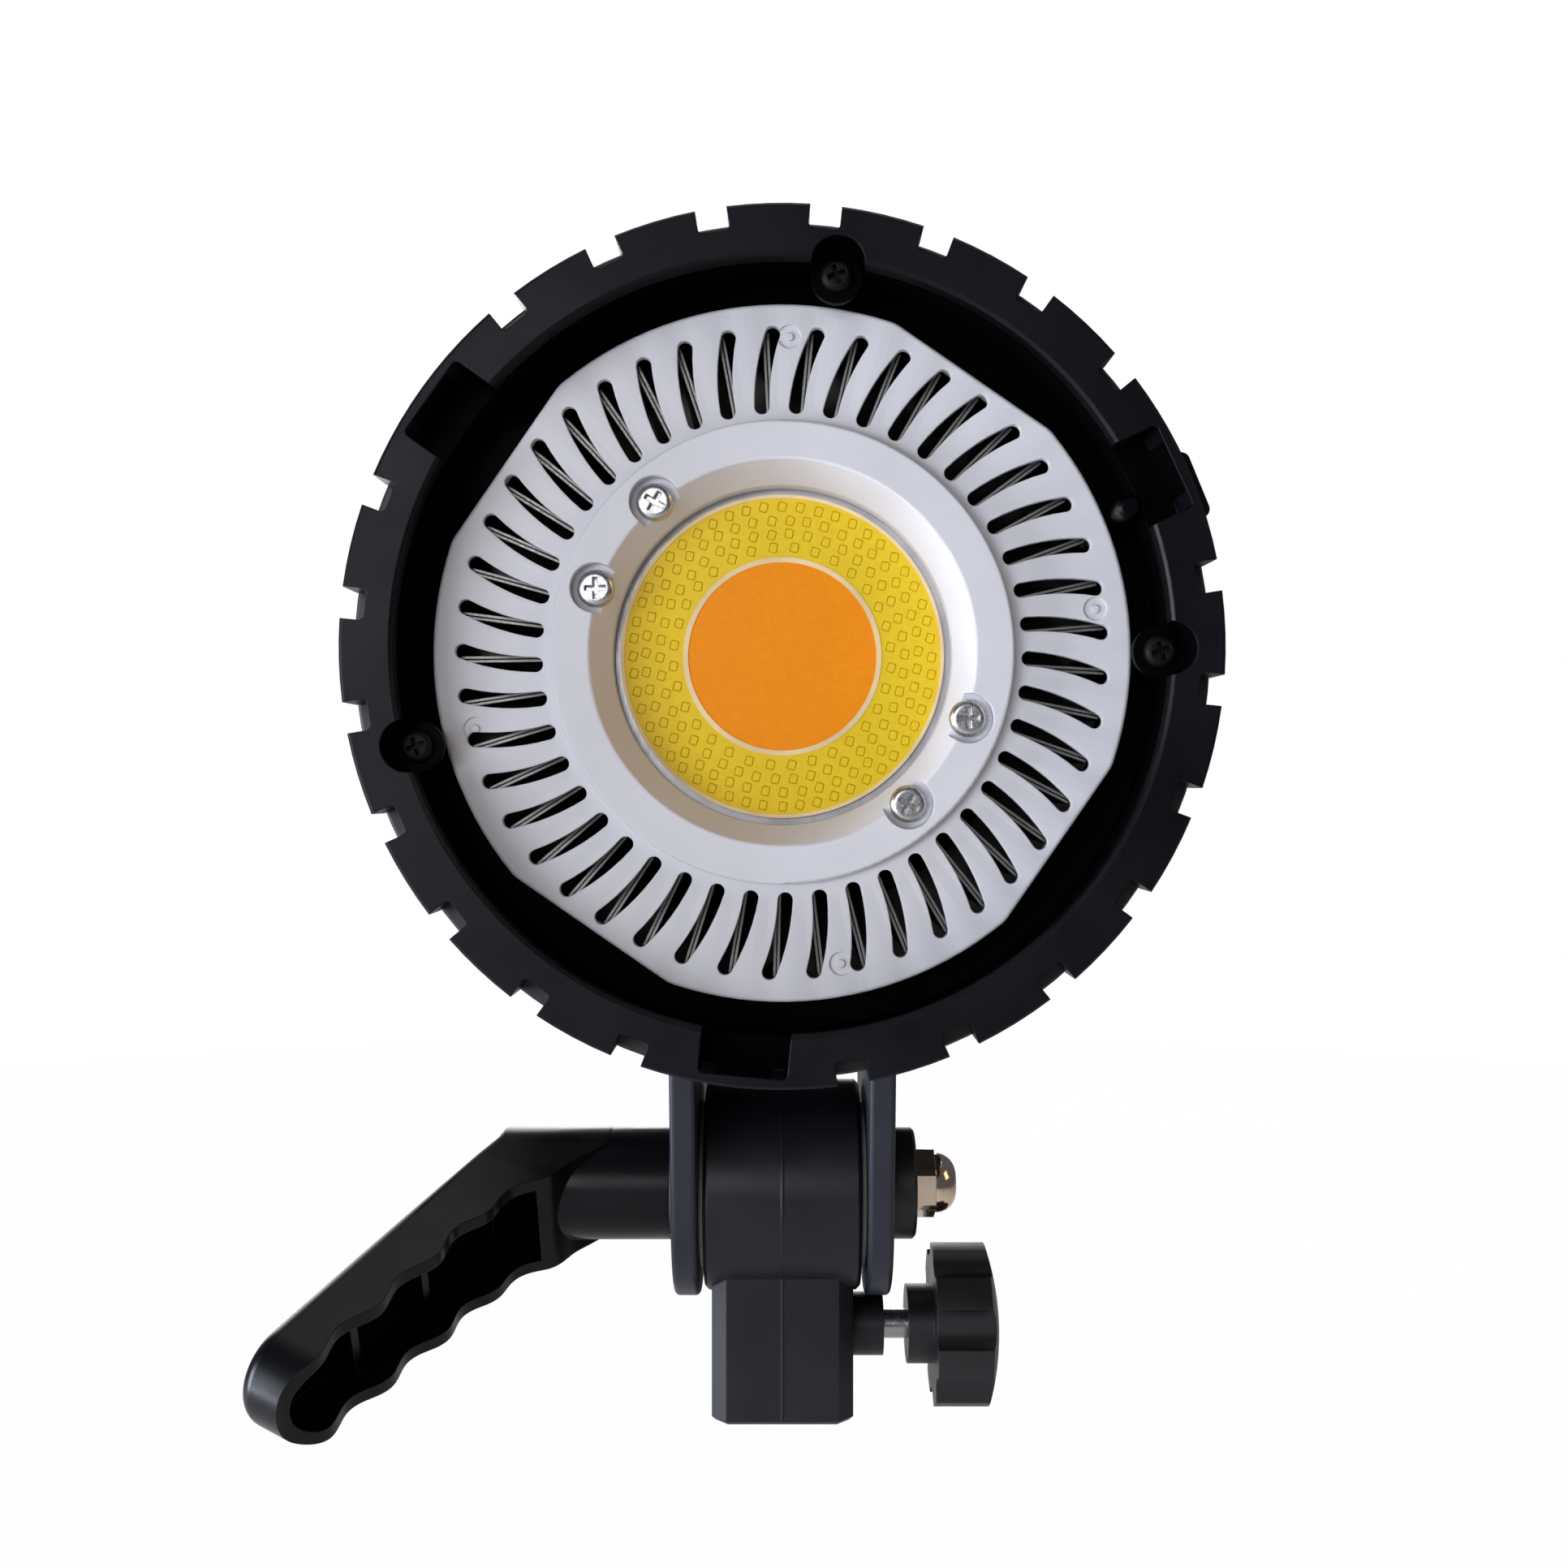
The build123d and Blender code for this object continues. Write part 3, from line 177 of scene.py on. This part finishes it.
def make_floor():
    """A round sheet under the lamp, in rings of quads about a fan of triangles."""
    bm = bmesh.new()
    loops = []
    for k in range(1, FLOOR_RINGS + 1):
        r = FLOOR_R * k / FLOOR_RINGS
        turns = [2 * pi * i / FLOOR_STEPS for i in range(FLOOR_STEPS)]
        loops.append([bm.verts.new((r * cos(t), r * sin(t), FLOOR_Z)) for t in turns])
    centre = bm.verts.new((0, 0, FLOOR_Z))
    for i in range(FLOOR_STEPS):
        j = (i + 1) % FLOOR_STEPS
        bm.faces.new((centre, loops[0][i], loops[0][j]))
        for a, b in zip(loops, loops[1:]):
            bm.faces.new((a[i], b[i], b[j], a[j]))
    mesh = bpy.data.meshes.new("floor")
    bm.to_mesh(mesh)
    bm.free()
    mesh.materials.append(floor_paper())
    floor = bpy.data.objects.new("floor", mesh)
    scene.collection.objects.link(floor)


def make_studio():
    for light in STUDIO_LIGHTS:
        area_light(*light)
    make_world()
    make_floor()


# ------------------------------------------------------------------ how a material is put together

MIX_SHARE, MIX_UNDER, MIX_OVER, MIX_RESULT = 0, 6, 7, 2  # colour sockets of the Mix node
# Painted shade: the near-black colour and low shine laid where a hollow is in shade
PAINTED_SHADE_COLOUR = (0.0012, 0.0012, 0.0014, 1)
PAINTED_SHADE_SPECULAR = 0.02
LEAST_ROUGH = 0.03  # no metal is smoother than this


def srgb(r, g, b):
    """A colour given on the 0 to 255 display scale, as the linear values a shader takes."""
    out = []
    for c in (r, g, b):
        c = c / 255
        out.append(c / 12.92 if c <= 0.04045 else ((c + 0.055) / 1.055) ** 2.4)
    return tuple(out) + (1.0,)


def scaled(colour, share):
    return tuple(min(1.0, c * share) for c in colour[:3]) + (1.0,)


class Surface:
    """A principled material whose colour, roughness and relief come from procedural textures."""

    def __init__(self, name, colour, metal=0.0, specular=0.5):
        self.material = bpy.data.materials.new(name)
        self.material.use_nodes = True
        self.tree = self.material.node_tree
        self.shader = self.tree.nodes["Principled BSDF"]
        self.colour = colour
        self.specular = specular
        self.shader.inputs["Metallic"].default_value = metal
        self.shader.inputs["Specular IOR Level"].default_value = specular
        self.place = self.node("ShaderNodeTexCoord").outputs["Object"]
        self.relief = None
        self.tint = None

    def node(self, kind, **values):
        made = self.tree.nodes.new(kind)
        for key, value in values.items():
            setattr(made, key, value)
        return made

    def link(self, a, b):
        self.tree.links.new(a, b)

    def noise(self, size, detail, stretch=None):
        """Noise whose blobs are about size metres across."""
        tex = self.node("ShaderNodeTexNoise")
        tex.inputs["Scale"].default_value = 1.0 / size
        tex.inputs["Detail"].default_value = detail
        source = self.place
        if stretch:
            mapping = self.node("ShaderNodeMapping")
            mapping.inputs["Scale"].default_value = stretch
            self.link(source, mapping.inputs["Vector"])
            source = mapping.outputs[0]
        self.link(source, tex.inputs["Vector"])
        return tex.outputs["Fac"]

    def math(self, operation, a, b=None):
        made = self.node("ShaderNodeMath", operation=operation)
        for socket, value in zip(made.inputs, (a, b)):
            if isinstance(value, (int, float)):
                socket.default_value = value
            elif value is not None:
                self.link(value, socket)
        return made.outputs[0]

    def split(self, vector):
        parts = self.node("ShaderNodeSeparateXYZ")
        self.link(vector, parts.inputs[0])
        return parts.outputs

    def from_axis(self):
        """Distance from the optical axis in mm and angle round it in degrees."""
        x, _, z = self.split(self.place)
        up = self.math("SUBTRACT", z, AXIS_Z * MM)
        square = self.math("ADD", self.math("MULTIPLY", x, x), self.math("MULTIPLY", up, up))
        away = self.math("MULTIPLY", self.math("SQRT", square), 1 / MM)
        angle = self.math("MULTIPLY", self.math("ARCTAN2", up, x), 180 / pi)
        return away, angle

    def depth(self):
        """Depth behind the ring's face in mm."""
        y = self.split(self.place)[1]
        return self.math("MULTIPLY", self.math("SUBTRACT", y, FRONT_Y * MM), 1 / MM)

    def spread(self, value, low, high, start=0.35, end=0.65):
        """value from start..end mapped to low..high."""
        ramp = self.node("ShaderNodeMapRange")
        ramp.inputs["From Min"].default_value = start
        ramp.inputs["From Max"].default_value = end
        ramp.inputs["To Min"].default_value = low
        ramp.inputs["To Max"].default_value = high
        self.link(value, ramp.inputs["Value"])
        return ramp.outputs[0]

    def mix_colour(self, share, over):
        """Put a colour mix in front of the shader. Its lower colour is left to the caller."""
        mix = self.node("ShaderNodeMix", data_type="RGBA")
        mix.inputs[MIX_OVER].default_value = over
        self.link(share, mix.inputs[MIX_SHARE])
        self.tint = mix.outputs[MIX_RESULT]
        self.link(self.tint, self.shader.inputs["Base Color"])
        return mix.inputs[MIX_UNDER]

    def vary_colour(self, value, low, high):
        """Colour between two shares of the base colour, by a 0..1 value."""
        under = self.mix_colour(value, scaled(self.colour, high))
        under.default_value = scaled(self.colour, low)

    def cover(self, mask, colour):
        """Lay another colour over the varied one, by a 0..1 mask."""
        varied = self.tint
        self.link(varied, self.mix_colour(mask, colour))

    def paint_shade(self, mask):
        """Painted shade: under a 0..1 mask the surface is painted near black with almost no shine, standing
        in for the shade of an unlit inside.
        """
        self.cover(mask, PAINTED_SHADE_COLOUR)
        shine = self.spread(mask, self.specular, PAINTED_SHADE_SPECULAR, 0, 1)
        self.link(shine, self.shader.inputs["Specular IOR Level"])

    def vary_rough(self, value, low, high):
        self.link(self.spread(value, low, high), self.shader.inputs["Roughness"])

    def bump(self, height, depth):
        """Relief of about depth metres."""
        bump = self.node("ShaderNodeBump")
        bump.inputs["Strength"].default_value = 1.0
        bump.inputs["Distance"].default_value = depth
        self.link(height, bump.inputs["Height"])
        if self.relief is not None:
            self.link(self.relief, bump.inputs["Normal"])
        self.relief = bump.outputs[0]
        self.link(self.relief, self.shader.inputs["Normal"])

    def round_edges(self, radius):
        bevel = self.node("ShaderNodeBevel", samples=6)
        bevel.inputs["Radius"].default_value = radius
        self.relief = bevel.outputs[0]
        self.link(self.relief, self.shader.inputs["Normal"])


MATERIALS = {}


def plastic(slot, colour, rough, grain=0.00035, depth=0.000012, edge=0.0003, specular=0.5, vary=0.18):
    """Moulded plastic with a fine spark-eroded grain and a little handling shine."""
    s = Surface(slot, colour, specular=specular)
    if edge:
        s.round_edges(edge)
    fine = s.noise(grain, 2.0)
    broad = s.noise(0.018, 4.0)
    s.vary_colour(s.spread(broad, 0, 1), 1 - vary, 1 + vary)
    s.vary_rough(broad, rough - 0.06, rough + 0.07)
    s.bump(fine, depth)
    MATERIALS[slot] = s.material
    return s


def metal(slot, colour, rough, brush=None):
    """Metal with a fine finish, which brush draws out in one direction, and a few duller patches."""
    s = Surface(slot, colour, metal=1.0)
    s.round_edges(0.0002)
    fine = s.noise(0.0005, 3.0, stretch=brush)
    broad = s.noise(0.006, 3.0)
    s.vary_colour(s.spread(broad, 0, 1), 0.86, 1.06)
    s.vary_rough(fine, max(LEAST_ROUGH, rough - 0.07), rough + 0.08)
    s.bump(fine, 0.000006)
    MATERIALS[slot] = s.material
    return s


def paint(slot, colour, rough):
    """Powder paint with orange peel and faint dust."""
    s = Surface(slot, colour)
    s.round_edges(0.00035)
    peel = s.noise(0.0011, 2.0)
    fine = s.noise(0.0003, 2.0)
    broad = s.noise(0.02, 4.0)
    s.vary_colour(s.spread(broad, 0, 1), 0.955, 1.02)
    s.vary_rough(broad, rough - 0.05, rough + 0.06)
    s.bump(peel, 0.00001)
    s.bump(fine, 0.000004)
    MATERIALS[slot] = s.material
    return s


# ------------------------------------------------------------------ the finishes of the lamp

MOUTH_R = 68.15  # between the bore behind the ring and the floors of its notches
MOUTH_FRONT = 0.55  # painted shade in the mouth starts this deep, so the ring's edge in front of it keeps its lit colour
MOUTH_BACK = 120.0
BAYONET_ANGLE = 24.7
BAYONET_COUNT = 3
BAYONET_HALF_ANGLE = 7.0
BAYONET_OUTWARD = 2.6  # how far the slots reach out beyond the mouth
BAYONET_BACK = 9.9
VENT_COUNT = 45
VENT_ANGLE = 3.7
VENT_BAND = (41.5, 43.5)  # radii over which the plate's waves fade in, at the vents' inner ends
WAVE_SIDES = (0.8, 3.2)  # degrees from a vent between which the plate rises to a crest
COOL_FACE, COOL_BACK = depths_of("cool_phosphor")
CHIP_SHADE = (0.02, 0.14)  # depths over which the sunk skin round a chip's rim is darkened, painted shade in the grooves
FIN_EDGE_FACING = -0.75  # a normal whose y is below this is on a fin's front edge, towards the vents; every other face of the sink gets painted shade
SEAM_HALF_WIDTH = (0.0001, 0.0004)  # metres over which the knuckle's parting line falls away


def mouth_shade_mask(s):
    """Where shade is painted: 1 on the surfaces inside the mouth and its bayonet slots, 0 on what faces the
    room.
    """
    away, angle = s.from_axis()
    depth = s.depth()
    from_slot = s.math("PINGPONG", s.math("SUBTRACT", angle, BAYONET_ANGLE), 180 / BAYONET_COUNT)
    beside = s.math("LESS_THAN", from_slot, BAYONET_HALF_ANGLE)
    in_slot = s.math("MULTIPLY", beside, s.math("LESS_THAN", depth, BAYONET_BACK))
    edge = s.math("ADD", MOUTH_R, s.math("MULTIPLY", in_slot, BAYONET_OUTWARD))
    behind_front = s.math("GREATER_THAN", depth, MOUTH_FRONT)
    deep = s.math("MULTIPLY", behind_front, s.math("LESS_THAN", depth, MOUTH_BACK))
    return s.math("MULTIPLY", s.math("LESS_THAN", away, edge), deep)


def make_housing_materials():
    ring = plastic("ring_plastic", srgb(11, 11, 18), 0.4, specular=0.14)
    # Painted shade inside the mouth and the bayonet slots of the ring and the barrel
    ring.paint_shade(mouth_shade_mask(ring))
    barrel = plastic("barrel_plastic", srgb(14, 14, 17), 0.42)
    barrel.paint_shade(mouth_shade_mask(barrel))
    metal("screw_black", srgb(24, 24, 26), 0.38)
    # The ring's screws are painted near black, as painted shade that hides them deep in their cut-outs
    plastic("screw_painted_shade", srgb(9, 9, 10), 0.5, specular=0.15)
    metal("spring_steel", srgb(168, 168, 170), 0.25)


def make_plate_material():
    """White paint on a plate that is pressed into a low crest between every two vents."""
    plate = paint("white_paint", srgb(217, 217, 221), 0.55)
    away, angle = plate.from_axis()
    from_vent = plate.math("PINGPONG", plate.math("SUBTRACT", angle, VENT_ANGLE), 180 / VENT_COUNT)
    crest = plate.spread(from_vent, 0, 1, *WAVE_SIDES)
    band = plate.spread(away, 0, 1, *VENT_BAND)
    plate.bump(plate.math("MULTIPLY", crest, band), 0.00016)


def make_light_source_materials():
    metal("screw_zinc", srgb(196, 196, 196), 0.3)
    metal("aluminium", srgb(188, 188, 192), 0.36, brush=(1, 1, 0.1))
    plastic("silicone_cream", srgb(246, 214, 160), 0.35, edge=0.0)
    cool = plastic("phosphor_cool", srgb(240, 205, 36), 0.4, edge=0.0, vary=0.03, specular=0.25)
    cool.cover(cool.spread(cool.noise(0.0009, 2.0), 0, 0.25), srgb(222, 184, 26))
    # Painted shade: the sunk grooves round the chips are darkened by their depth
    sunk = cool.spread(cool.depth(), 0, 1, COOL_FACE + CHIP_SHADE[0], COOL_FACE + CHIP_SHADE[1])
    cool.cover(sunk, srgb(176, 142, 18))
    warm = plastic("phosphor_warm", srgb(255, 152, 2), 0.42, edge=0.0, vary=0.02, specular=0.2)
    warm.cover(warm.spread(warm.noise(0.0012, 3.0), 0, 0.3), srgb(246, 134, 8))


def make_inner_materials():
    """The heat sink keeps its grey metal on the fins' front edges; every other face is painted near black as
    painted shade behind them.
    """
    sink = metal("sink_painted_shade", srgb(150, 148, 146), 0.42)
    facing = sink.split(sink.node("ShaderNodeTexCoord").outputs["Normal"])[1]
    # Painted shade on every face of the sink except the fins' front edges
    sink.paint_shade(sink.math("GREATER_THAN", facing, FIN_EDGE_FACING))
    metal("copper_base", srgb(60, 44, 38), 0.4)
    plastic("fan_plastic", srgb(12, 12, 14), 0.5)
    plastic("board_green", srgb(18, 84, 46), 0.4)
    plastic("component_black", srgb(22, 22, 24), 0.5)
    plastic("can_sleeve", srgb(26, 34, 70), 0.35)
    plastic("ferrite", srgb(60, 58, 58), 0.7)


def make_panel_materials():
    plastic("panel_film", srgb(24, 24, 27), 0.38)
    plastic("panel_ink", srgb(214, 214, 210), 0.5, edge=0.0)
    glass = plastic("lcd_glass", srgb(200, 206, 204), 0.06, edge=0.0, depth=0.0)
    glass.shader.inputs["Transmission Weight"].default_value = 0.9
    plastic("lcd_cell", srgb(120, 132, 110), 0.3)
    plastic("lcd_ink", srgb(18, 22, 20), 0.4, edge=0.0)
    plastic("button_plastic", srgb(58, 58, 62), 0.4)
    plastic("knob_rubber", srgb(14, 14, 17), 0.44)
    plastic("inlet_plastic", srgb(18, 18, 19), 0.36)
    metal("pin_nickel", srgb(204, 202, 196), 0.2)


def make_stand_materials():
    plastic("bracket_paint", srgb(24, 27, 40), 0.46, grain=0.0006, depth=0.00002)
    plastic("handle_plastic", srgb(5, 5, 8), 0.27, specular=0.22)
    metal("chrome", srgb(226, 206, 184), 0.1)
    metal("brass", srgb(196, 160, 90), 0.28)
    plastic("washer_nylon", srgb(206, 204, 196), 0.45)
    knuckle = plastic("knuckle_plastic", srgb(15, 15, 22), 0.4, specular=0.38)
    from_middle = knuckle.math("ABSOLUTE", knuckle.split(knuckle.place)[0])
    seam = knuckle.spread(from_middle, 1, 0, *SEAM_HALF_WIDTH)
    knuckle.bump(seam, 0.00007)


# CAD nodes that look otherwise than the slot they share with their neighbours; the heat sink and the ring's
# screws carry painted shade
OWN_FINISH = {"heat_sink": "sink_painted_shade", "stand_block": "knuckle_plastic", "ring_screws": "screw_painted_shade"}


def dress_nodes():
    """Every CAD node takes the finished material of its slot, or one of its own."""
    for name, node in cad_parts.items():
        for slot in node.material_slots:
            finish = OWN_FINISH.get(name, slot.material.name.split(".")[0])
            slot.material = MATERIALS[finish]


# ------------------------------------------------------------------ drawing on the head


def finish_piece(name, bm, finish, body):
    """Make the object of a bmesh that was drawn in world metres, give it its finish and let it ride."""
    bmesh.ops.recalc_face_normals(bm, faces=bm.faces)
    mesh = bpy.data.meshes.new(name)
    bm.to_mesh(mesh)
    bm.free()
    mesh.materials.append(MATERIALS[finish])
    piece = bpy.data.objects.new(name, mesh)
    scene.collection.objects.link(piece)
    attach(piece, body)
    return piece


def lamp_point(x, y, depth):
    """World metres of a point beside the optical axis and behind the ring's face."""
    return Vector((x, FRONT_Y + depth, AXIS_Z + y)) * MM


def polar(radius, angle):
    return radius * cos(radians(angle)), radius * sin(radians(angle))


def around(count):
    """Each index of a closed loop with the one after it."""
    return [(k, (k + 1) % count) for k in range(count)]


# ------------------------------------------------------------------ the yellow ring of chips

COOL_OUTER_R, COOL_INNER_R = 27.9, 17.5
OUTER_STEPS, INNER_STEPS = 120, 96
CHIP_ROWS = ((26.4, 52, 0.0), (24.0, 47, 2.6), (21.6, 42, 0.8), (19.2, 32, 5.0))  # radius, count, first angle
CHIP_LEAN = -14
CHIP_STEPS = (  # half width, half height, corner radius, depth below the ring's face
    (0.78, 0.9, 0.3, 0.0),
    (0.68, 0.8, 0.26, 0.13),
    (0.54, 0.66, 0.2, -0.05),
)


def chip_loop(x, y, lean, half_width, half_height, corner):
    """Twelve points of a rounded rectangle."""
    points = []
    for k, (sx, sy) in enumerate(((1, 1), (-1, 1), (-1, -1), (1, -1))):
        for step in range(3):
            turn = radians(90 * k + 45 * step)
            u = sx * (half_width - corner) + corner * cos(turn)
            v = sy * (half_height - corner) + corner * sin(turn)
            points.append((x + u * cos(lean) - v * sin(lean), y + u * sin(lean) + v * cos(lean)))
    return points


def cool_loops():
    """Closed outlines on the ring's face with their depths: its two rims, then three for each chip."""
    rng = random.Random(7)
    loops = []
    for radius, count in ((COOL_OUTER_R, OUTER_STEPS), (COOL_INNER_R, INNER_STEPS)):
        loops.append(([polar(radius, 360 * k / count) for k in range(count)], COOL_FACE))
    for radius, count, start in CHIP_ROWS:
        for k in range(count):
            x, y = polar(radius + rng.uniform(-0.12, 0.12), start + 360 * k / count + rng.uniform(-0.4, 0.4))
            lean = radians(CHIP_LEAN + rng.uniform(-5, 5))
            for half_width, half_height, corner, sunk in CHIP_STEPS:
                loops.append((chip_loop(x, y, lean, half_width, half_height, corner), COOL_FACE + sunk))
    return loops


def make_phosphor_ring():
    """The yellow silicone ring, moulded over its rows of chips."""
    points, depths, edges = [], [], []
    for loop, depth in cool_loops():
        first = len(points)
        points.extend(Vector(p) for p in loop)
        depths.extend([depth] * len(loop))
        edges.extend((first + a, first + b) for a, b in around(len(loop)))
    flat, _, faces, _, _, _ = delaunay_2d_cdt(points, edges, [], 0, 0.00001)
    bm = bmesh.new()
    front = [bm.verts.new(lamp_point(p.x, p.y, d)) for p, d in zip(flat, depths)]
    hole_r = COOL_INNER_R * cos(pi / INNER_STEPS)
    for corners in faces:
        middle = sum((flat[i] for i in corners), Vector((0, 0))) / 3
        if middle.length > hole_r:
            bm.faces.new([front[i] for i in corners])
    back_edges = []
    for rim in (range(OUTER_STEPS), range(OUTER_STEPS, OUTER_STEPS + INNER_STEPS)):
        back = [bm.verts.new(lamp_point(flat[i].x, flat[i].y, COOL_BACK)) for i in rim]
        for a, b in around(len(rim)):
            bm.faces.new((front[rim[a]], front[rim[b]], back[b], back[a]))
        back_edges.extend(bm.edges.get((back[a], back[b])) for a, b in around(len(rim)))
    bmesh.ops.triangle_fill(bm, use_beauty=True, edges=back_edges)
    piece = finish_piece("phosphor_ring", bm, "phosphor_cool", "head")
    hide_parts("cool_phosphor")


# ------------------------------------------------------------------ the release's spring

LATCH_R, LATCH_ANGLE = 62.8, 22.3
COIL_R = 2.75
WIRE_R = 0.3
COIL_TURNS, TURN_STEPS, WIRE_SIDES = 6, 24, 8
SEAT_GAP = 0.35  # from the spring's seats to the middle of its end turns


def make_release_spring():
    """The release's coil spring, drawn between its seats."""
    middle_x, middle_y = polar(LATCH_R, LATCH_ANGLE)
    front_seat, back_seat = depths_of("lock_spring")
    start, end = front_seat + SEAT_GAP, back_seat - SEAT_GAP
    bm = bmesh.new()
    rings = []
    for k in range(COIL_TURNS * TURN_STEPS + 1):
        share = k / (COIL_TURNS * TURN_STEPS)
        angle = 2 * pi * COIL_TURNS * share
        ring = []
        for n in range(WIRE_SIDES):
            turn = 2 * pi * n / WIRE_SIDES
            r = COIL_R + WIRE_R * cos(turn)
            depth = start + (end - start) * share + WIRE_R * sin(turn)
            ring.append(bm.verts.new(lamp_point(middle_x + r * cos(angle), middle_y + r * sin(angle), depth)))
        rings.append(ring)
    for a, b in zip(rings, rings[1:]):
        for n, m in around(WIRE_SIDES):
            bm.faces.new((a[n], a[m], b[m], b[n]))
    bm.faces.new(rings[0])
    bm.faces.new(rings[-1])
    for face in bm.faces:
        face.smooth = len(face.verts) == 4
    spring = finish_piece("release_spring", bm, "spring_steel", "head")
    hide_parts("lock_spring")
    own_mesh(spring)


# ------------------------------------------------------------------ marks on the rear panel

DIGIT_BARS = {  # ends of a seven-segment digit's bars, as steps across and up
    "a": ((0, 2), (1, 2)),
    "b": ((1, 2), (1, 1)),
    "c": ((1, 1), (1, 0)),
    "d": ((1, 0), (0, 0)),
    "e": ((0, 0), (0, 1)),
    "f": ((0, 1), (0, 2)),
    "g": ((0, 1), (1, 1)),
}
DIGITS = {"0": "abcdef", "1": "bc", "5": "acdfg", "6": "acdefg"}
DIGIT_PITCH = 1.7  # in digit widths
BAR_GAP = 0.12  # left open at both ends of a bar, in digit widths

INK = 0.06  # thickness of the print on the panel
TICK_COUNT, TICK_STEP = 11, 24
TICK_INNER_R, LONG_TICK_INNER_R, TICK_OUTER_R = 11.9, 11.6, 13.2
TICK_WIDTH = 0.35
END_NUMBERS = (("0", 11.6), ("10", -8.2))  # digits, and where they start beside the dial's axis
END_NUMBER_DROP = 14.2
END_NUMBER_SIZE, END_NUMBER_WIDTH = 0.9, 0.3
UNDERLINE_DROP, UNDERLINE_HALF, UNDERLINE_WIDTH = 5.6, 2.5, 0.4

SEGMENT_LAYER = (0.02, 0.12)  # depth of the segments' front and back behind the display's face
READING_X = 10.0
READINGS = (("100", 1.5, 3.6, 0.9), ("5600", -9.2, 2.9, 0.75))  # digits, height, size, bar width
LEVEL_COUNT, LEVEL_STEP, LEVEL_LOW = 9, 2, -8.5
LEVEL_X = (17, 14.5)
LEVEL_WIDTH = 1.2


def add_bar(bm, start, end, width, front, back):
    """A flat bar between two points on the rear panel."""
    run = Vector((end[0] - start[0], end[1] - start[1])).normalized()
    side = Vector((-run.y, run.x)) * width / 2
    corners = [Vector(start) + side, Vector(start) - side, Vector(end) - side, Vector(end) + side]
    rows = [[bm.verts.new(lamp_point(c.x, c.y, depth)) for c in corners] for depth in (front, back)]
    for row in rows:
        bm.faces.new(row)
    for k, j in around(4):
        bm.faces.new((rows[0][k], rows[0][j], rows[1][j], rows[1][k]))


def add_digits(bm, text, x, y, size, width, front, back):
    """Bar digits that read from behind the lamp, where +X is on the left."""
    for k, digit in enumerate(text):
        left = x - k * size * DIGIT_PITCH
        for bar in DIGITS[digit]:
            (ax, ay), (bx, by) = DIGIT_BARS[bar]
            gap_x, gap_y = BAR_GAP * (bx - ax), BAR_GAP * (by - ay)
            start = (left - size * (ax + gap_x), y + size * (ay + gap_y))
            end = (left - size * (bx - gap_x), y + size * (by - gap_y))
            add_bar(bm, start, end, width, front, back)


def make_panel_marks():
    """Dial ticks round both knobs, their end numbers, and a line under each button."""
    face = depths_of("control_panel")[1]
    proud = face + INK
    bm = bmesh.new()
    for knob, button in (("brightness_knob", "mode_button"), ("colour_knob", "preset_button")):
        x, y = beside_axis(knob)
        for k in range(TICK_COUNT):
            from_top = k - TICK_COUNT // 2
            angle = 90 + from_top * TICK_STEP
            inner_r = TICK_INNER_R if from_top % 5 else LONG_TICK_INNER_R
            start, end = polar(inner_r, angle), polar(TICK_OUTER_R, angle)
            add_bar(bm, (x + start[0], y + start[1]), (x + end[0], y + end[1]), TICK_WIDTH, face, proud)
        for text, aside in END_NUMBERS:
            below = y - END_NUMBER_DROP
            add_digits(bm, text, x + aside, below, END_NUMBER_SIZE, END_NUMBER_WIDTH, face, proud)
        x, y = beside_axis(button)
        left, right = (x - UNDERLINE_HALF, y - UNDERLINE_DROP), (x + UNDERLINE_HALF, y - UNDERLINE_DROP)
        add_bar(bm, left, right, UNDERLINE_WIDTH, face, proud)
    finish_piece("panel_marks", bm, "panel_ink", "head")


def make_lcd_segments():
    """Two readings on the display, brightness above colour temperature, and a bar of levels."""
    face = depths_of("lcd_module")[1]
    front, back = face + SEGMENT_LAYER[0], face + SEGMENT_LAYER[1]
    middle_y = beside_axis("lcd_window")[1]
    bm = bmesh.new()
    for text, above, size, width in READINGS:
        add_digits(bm, text, READING_X, middle_y + above, size, width, front, back)
    for k in range(LEVEL_COUNT):
        y = middle_y + LEVEL_LOW + k * LEVEL_STEP
        add_bar(bm, (LEVEL_X[0], y), (LEVEL_X[1], y), LEVEL_WIDTH, front, back)
    finish_piece("lcd_segments", bm, "lcd_ink", "head")


# ------------------------------------------------------------------ the whole scene

make_camera()
make_studio()
make_housing_materials()
make_plate_material()
make_light_source_materials()
make_inner_materials()
make_panel_materials()
make_stand_materials()
dress_nodes()
make_phosphor_ring()
make_release_spring()
make_panel_marks()
make_lcd_segments()

scene.view_settings.view_transform = "Standard"
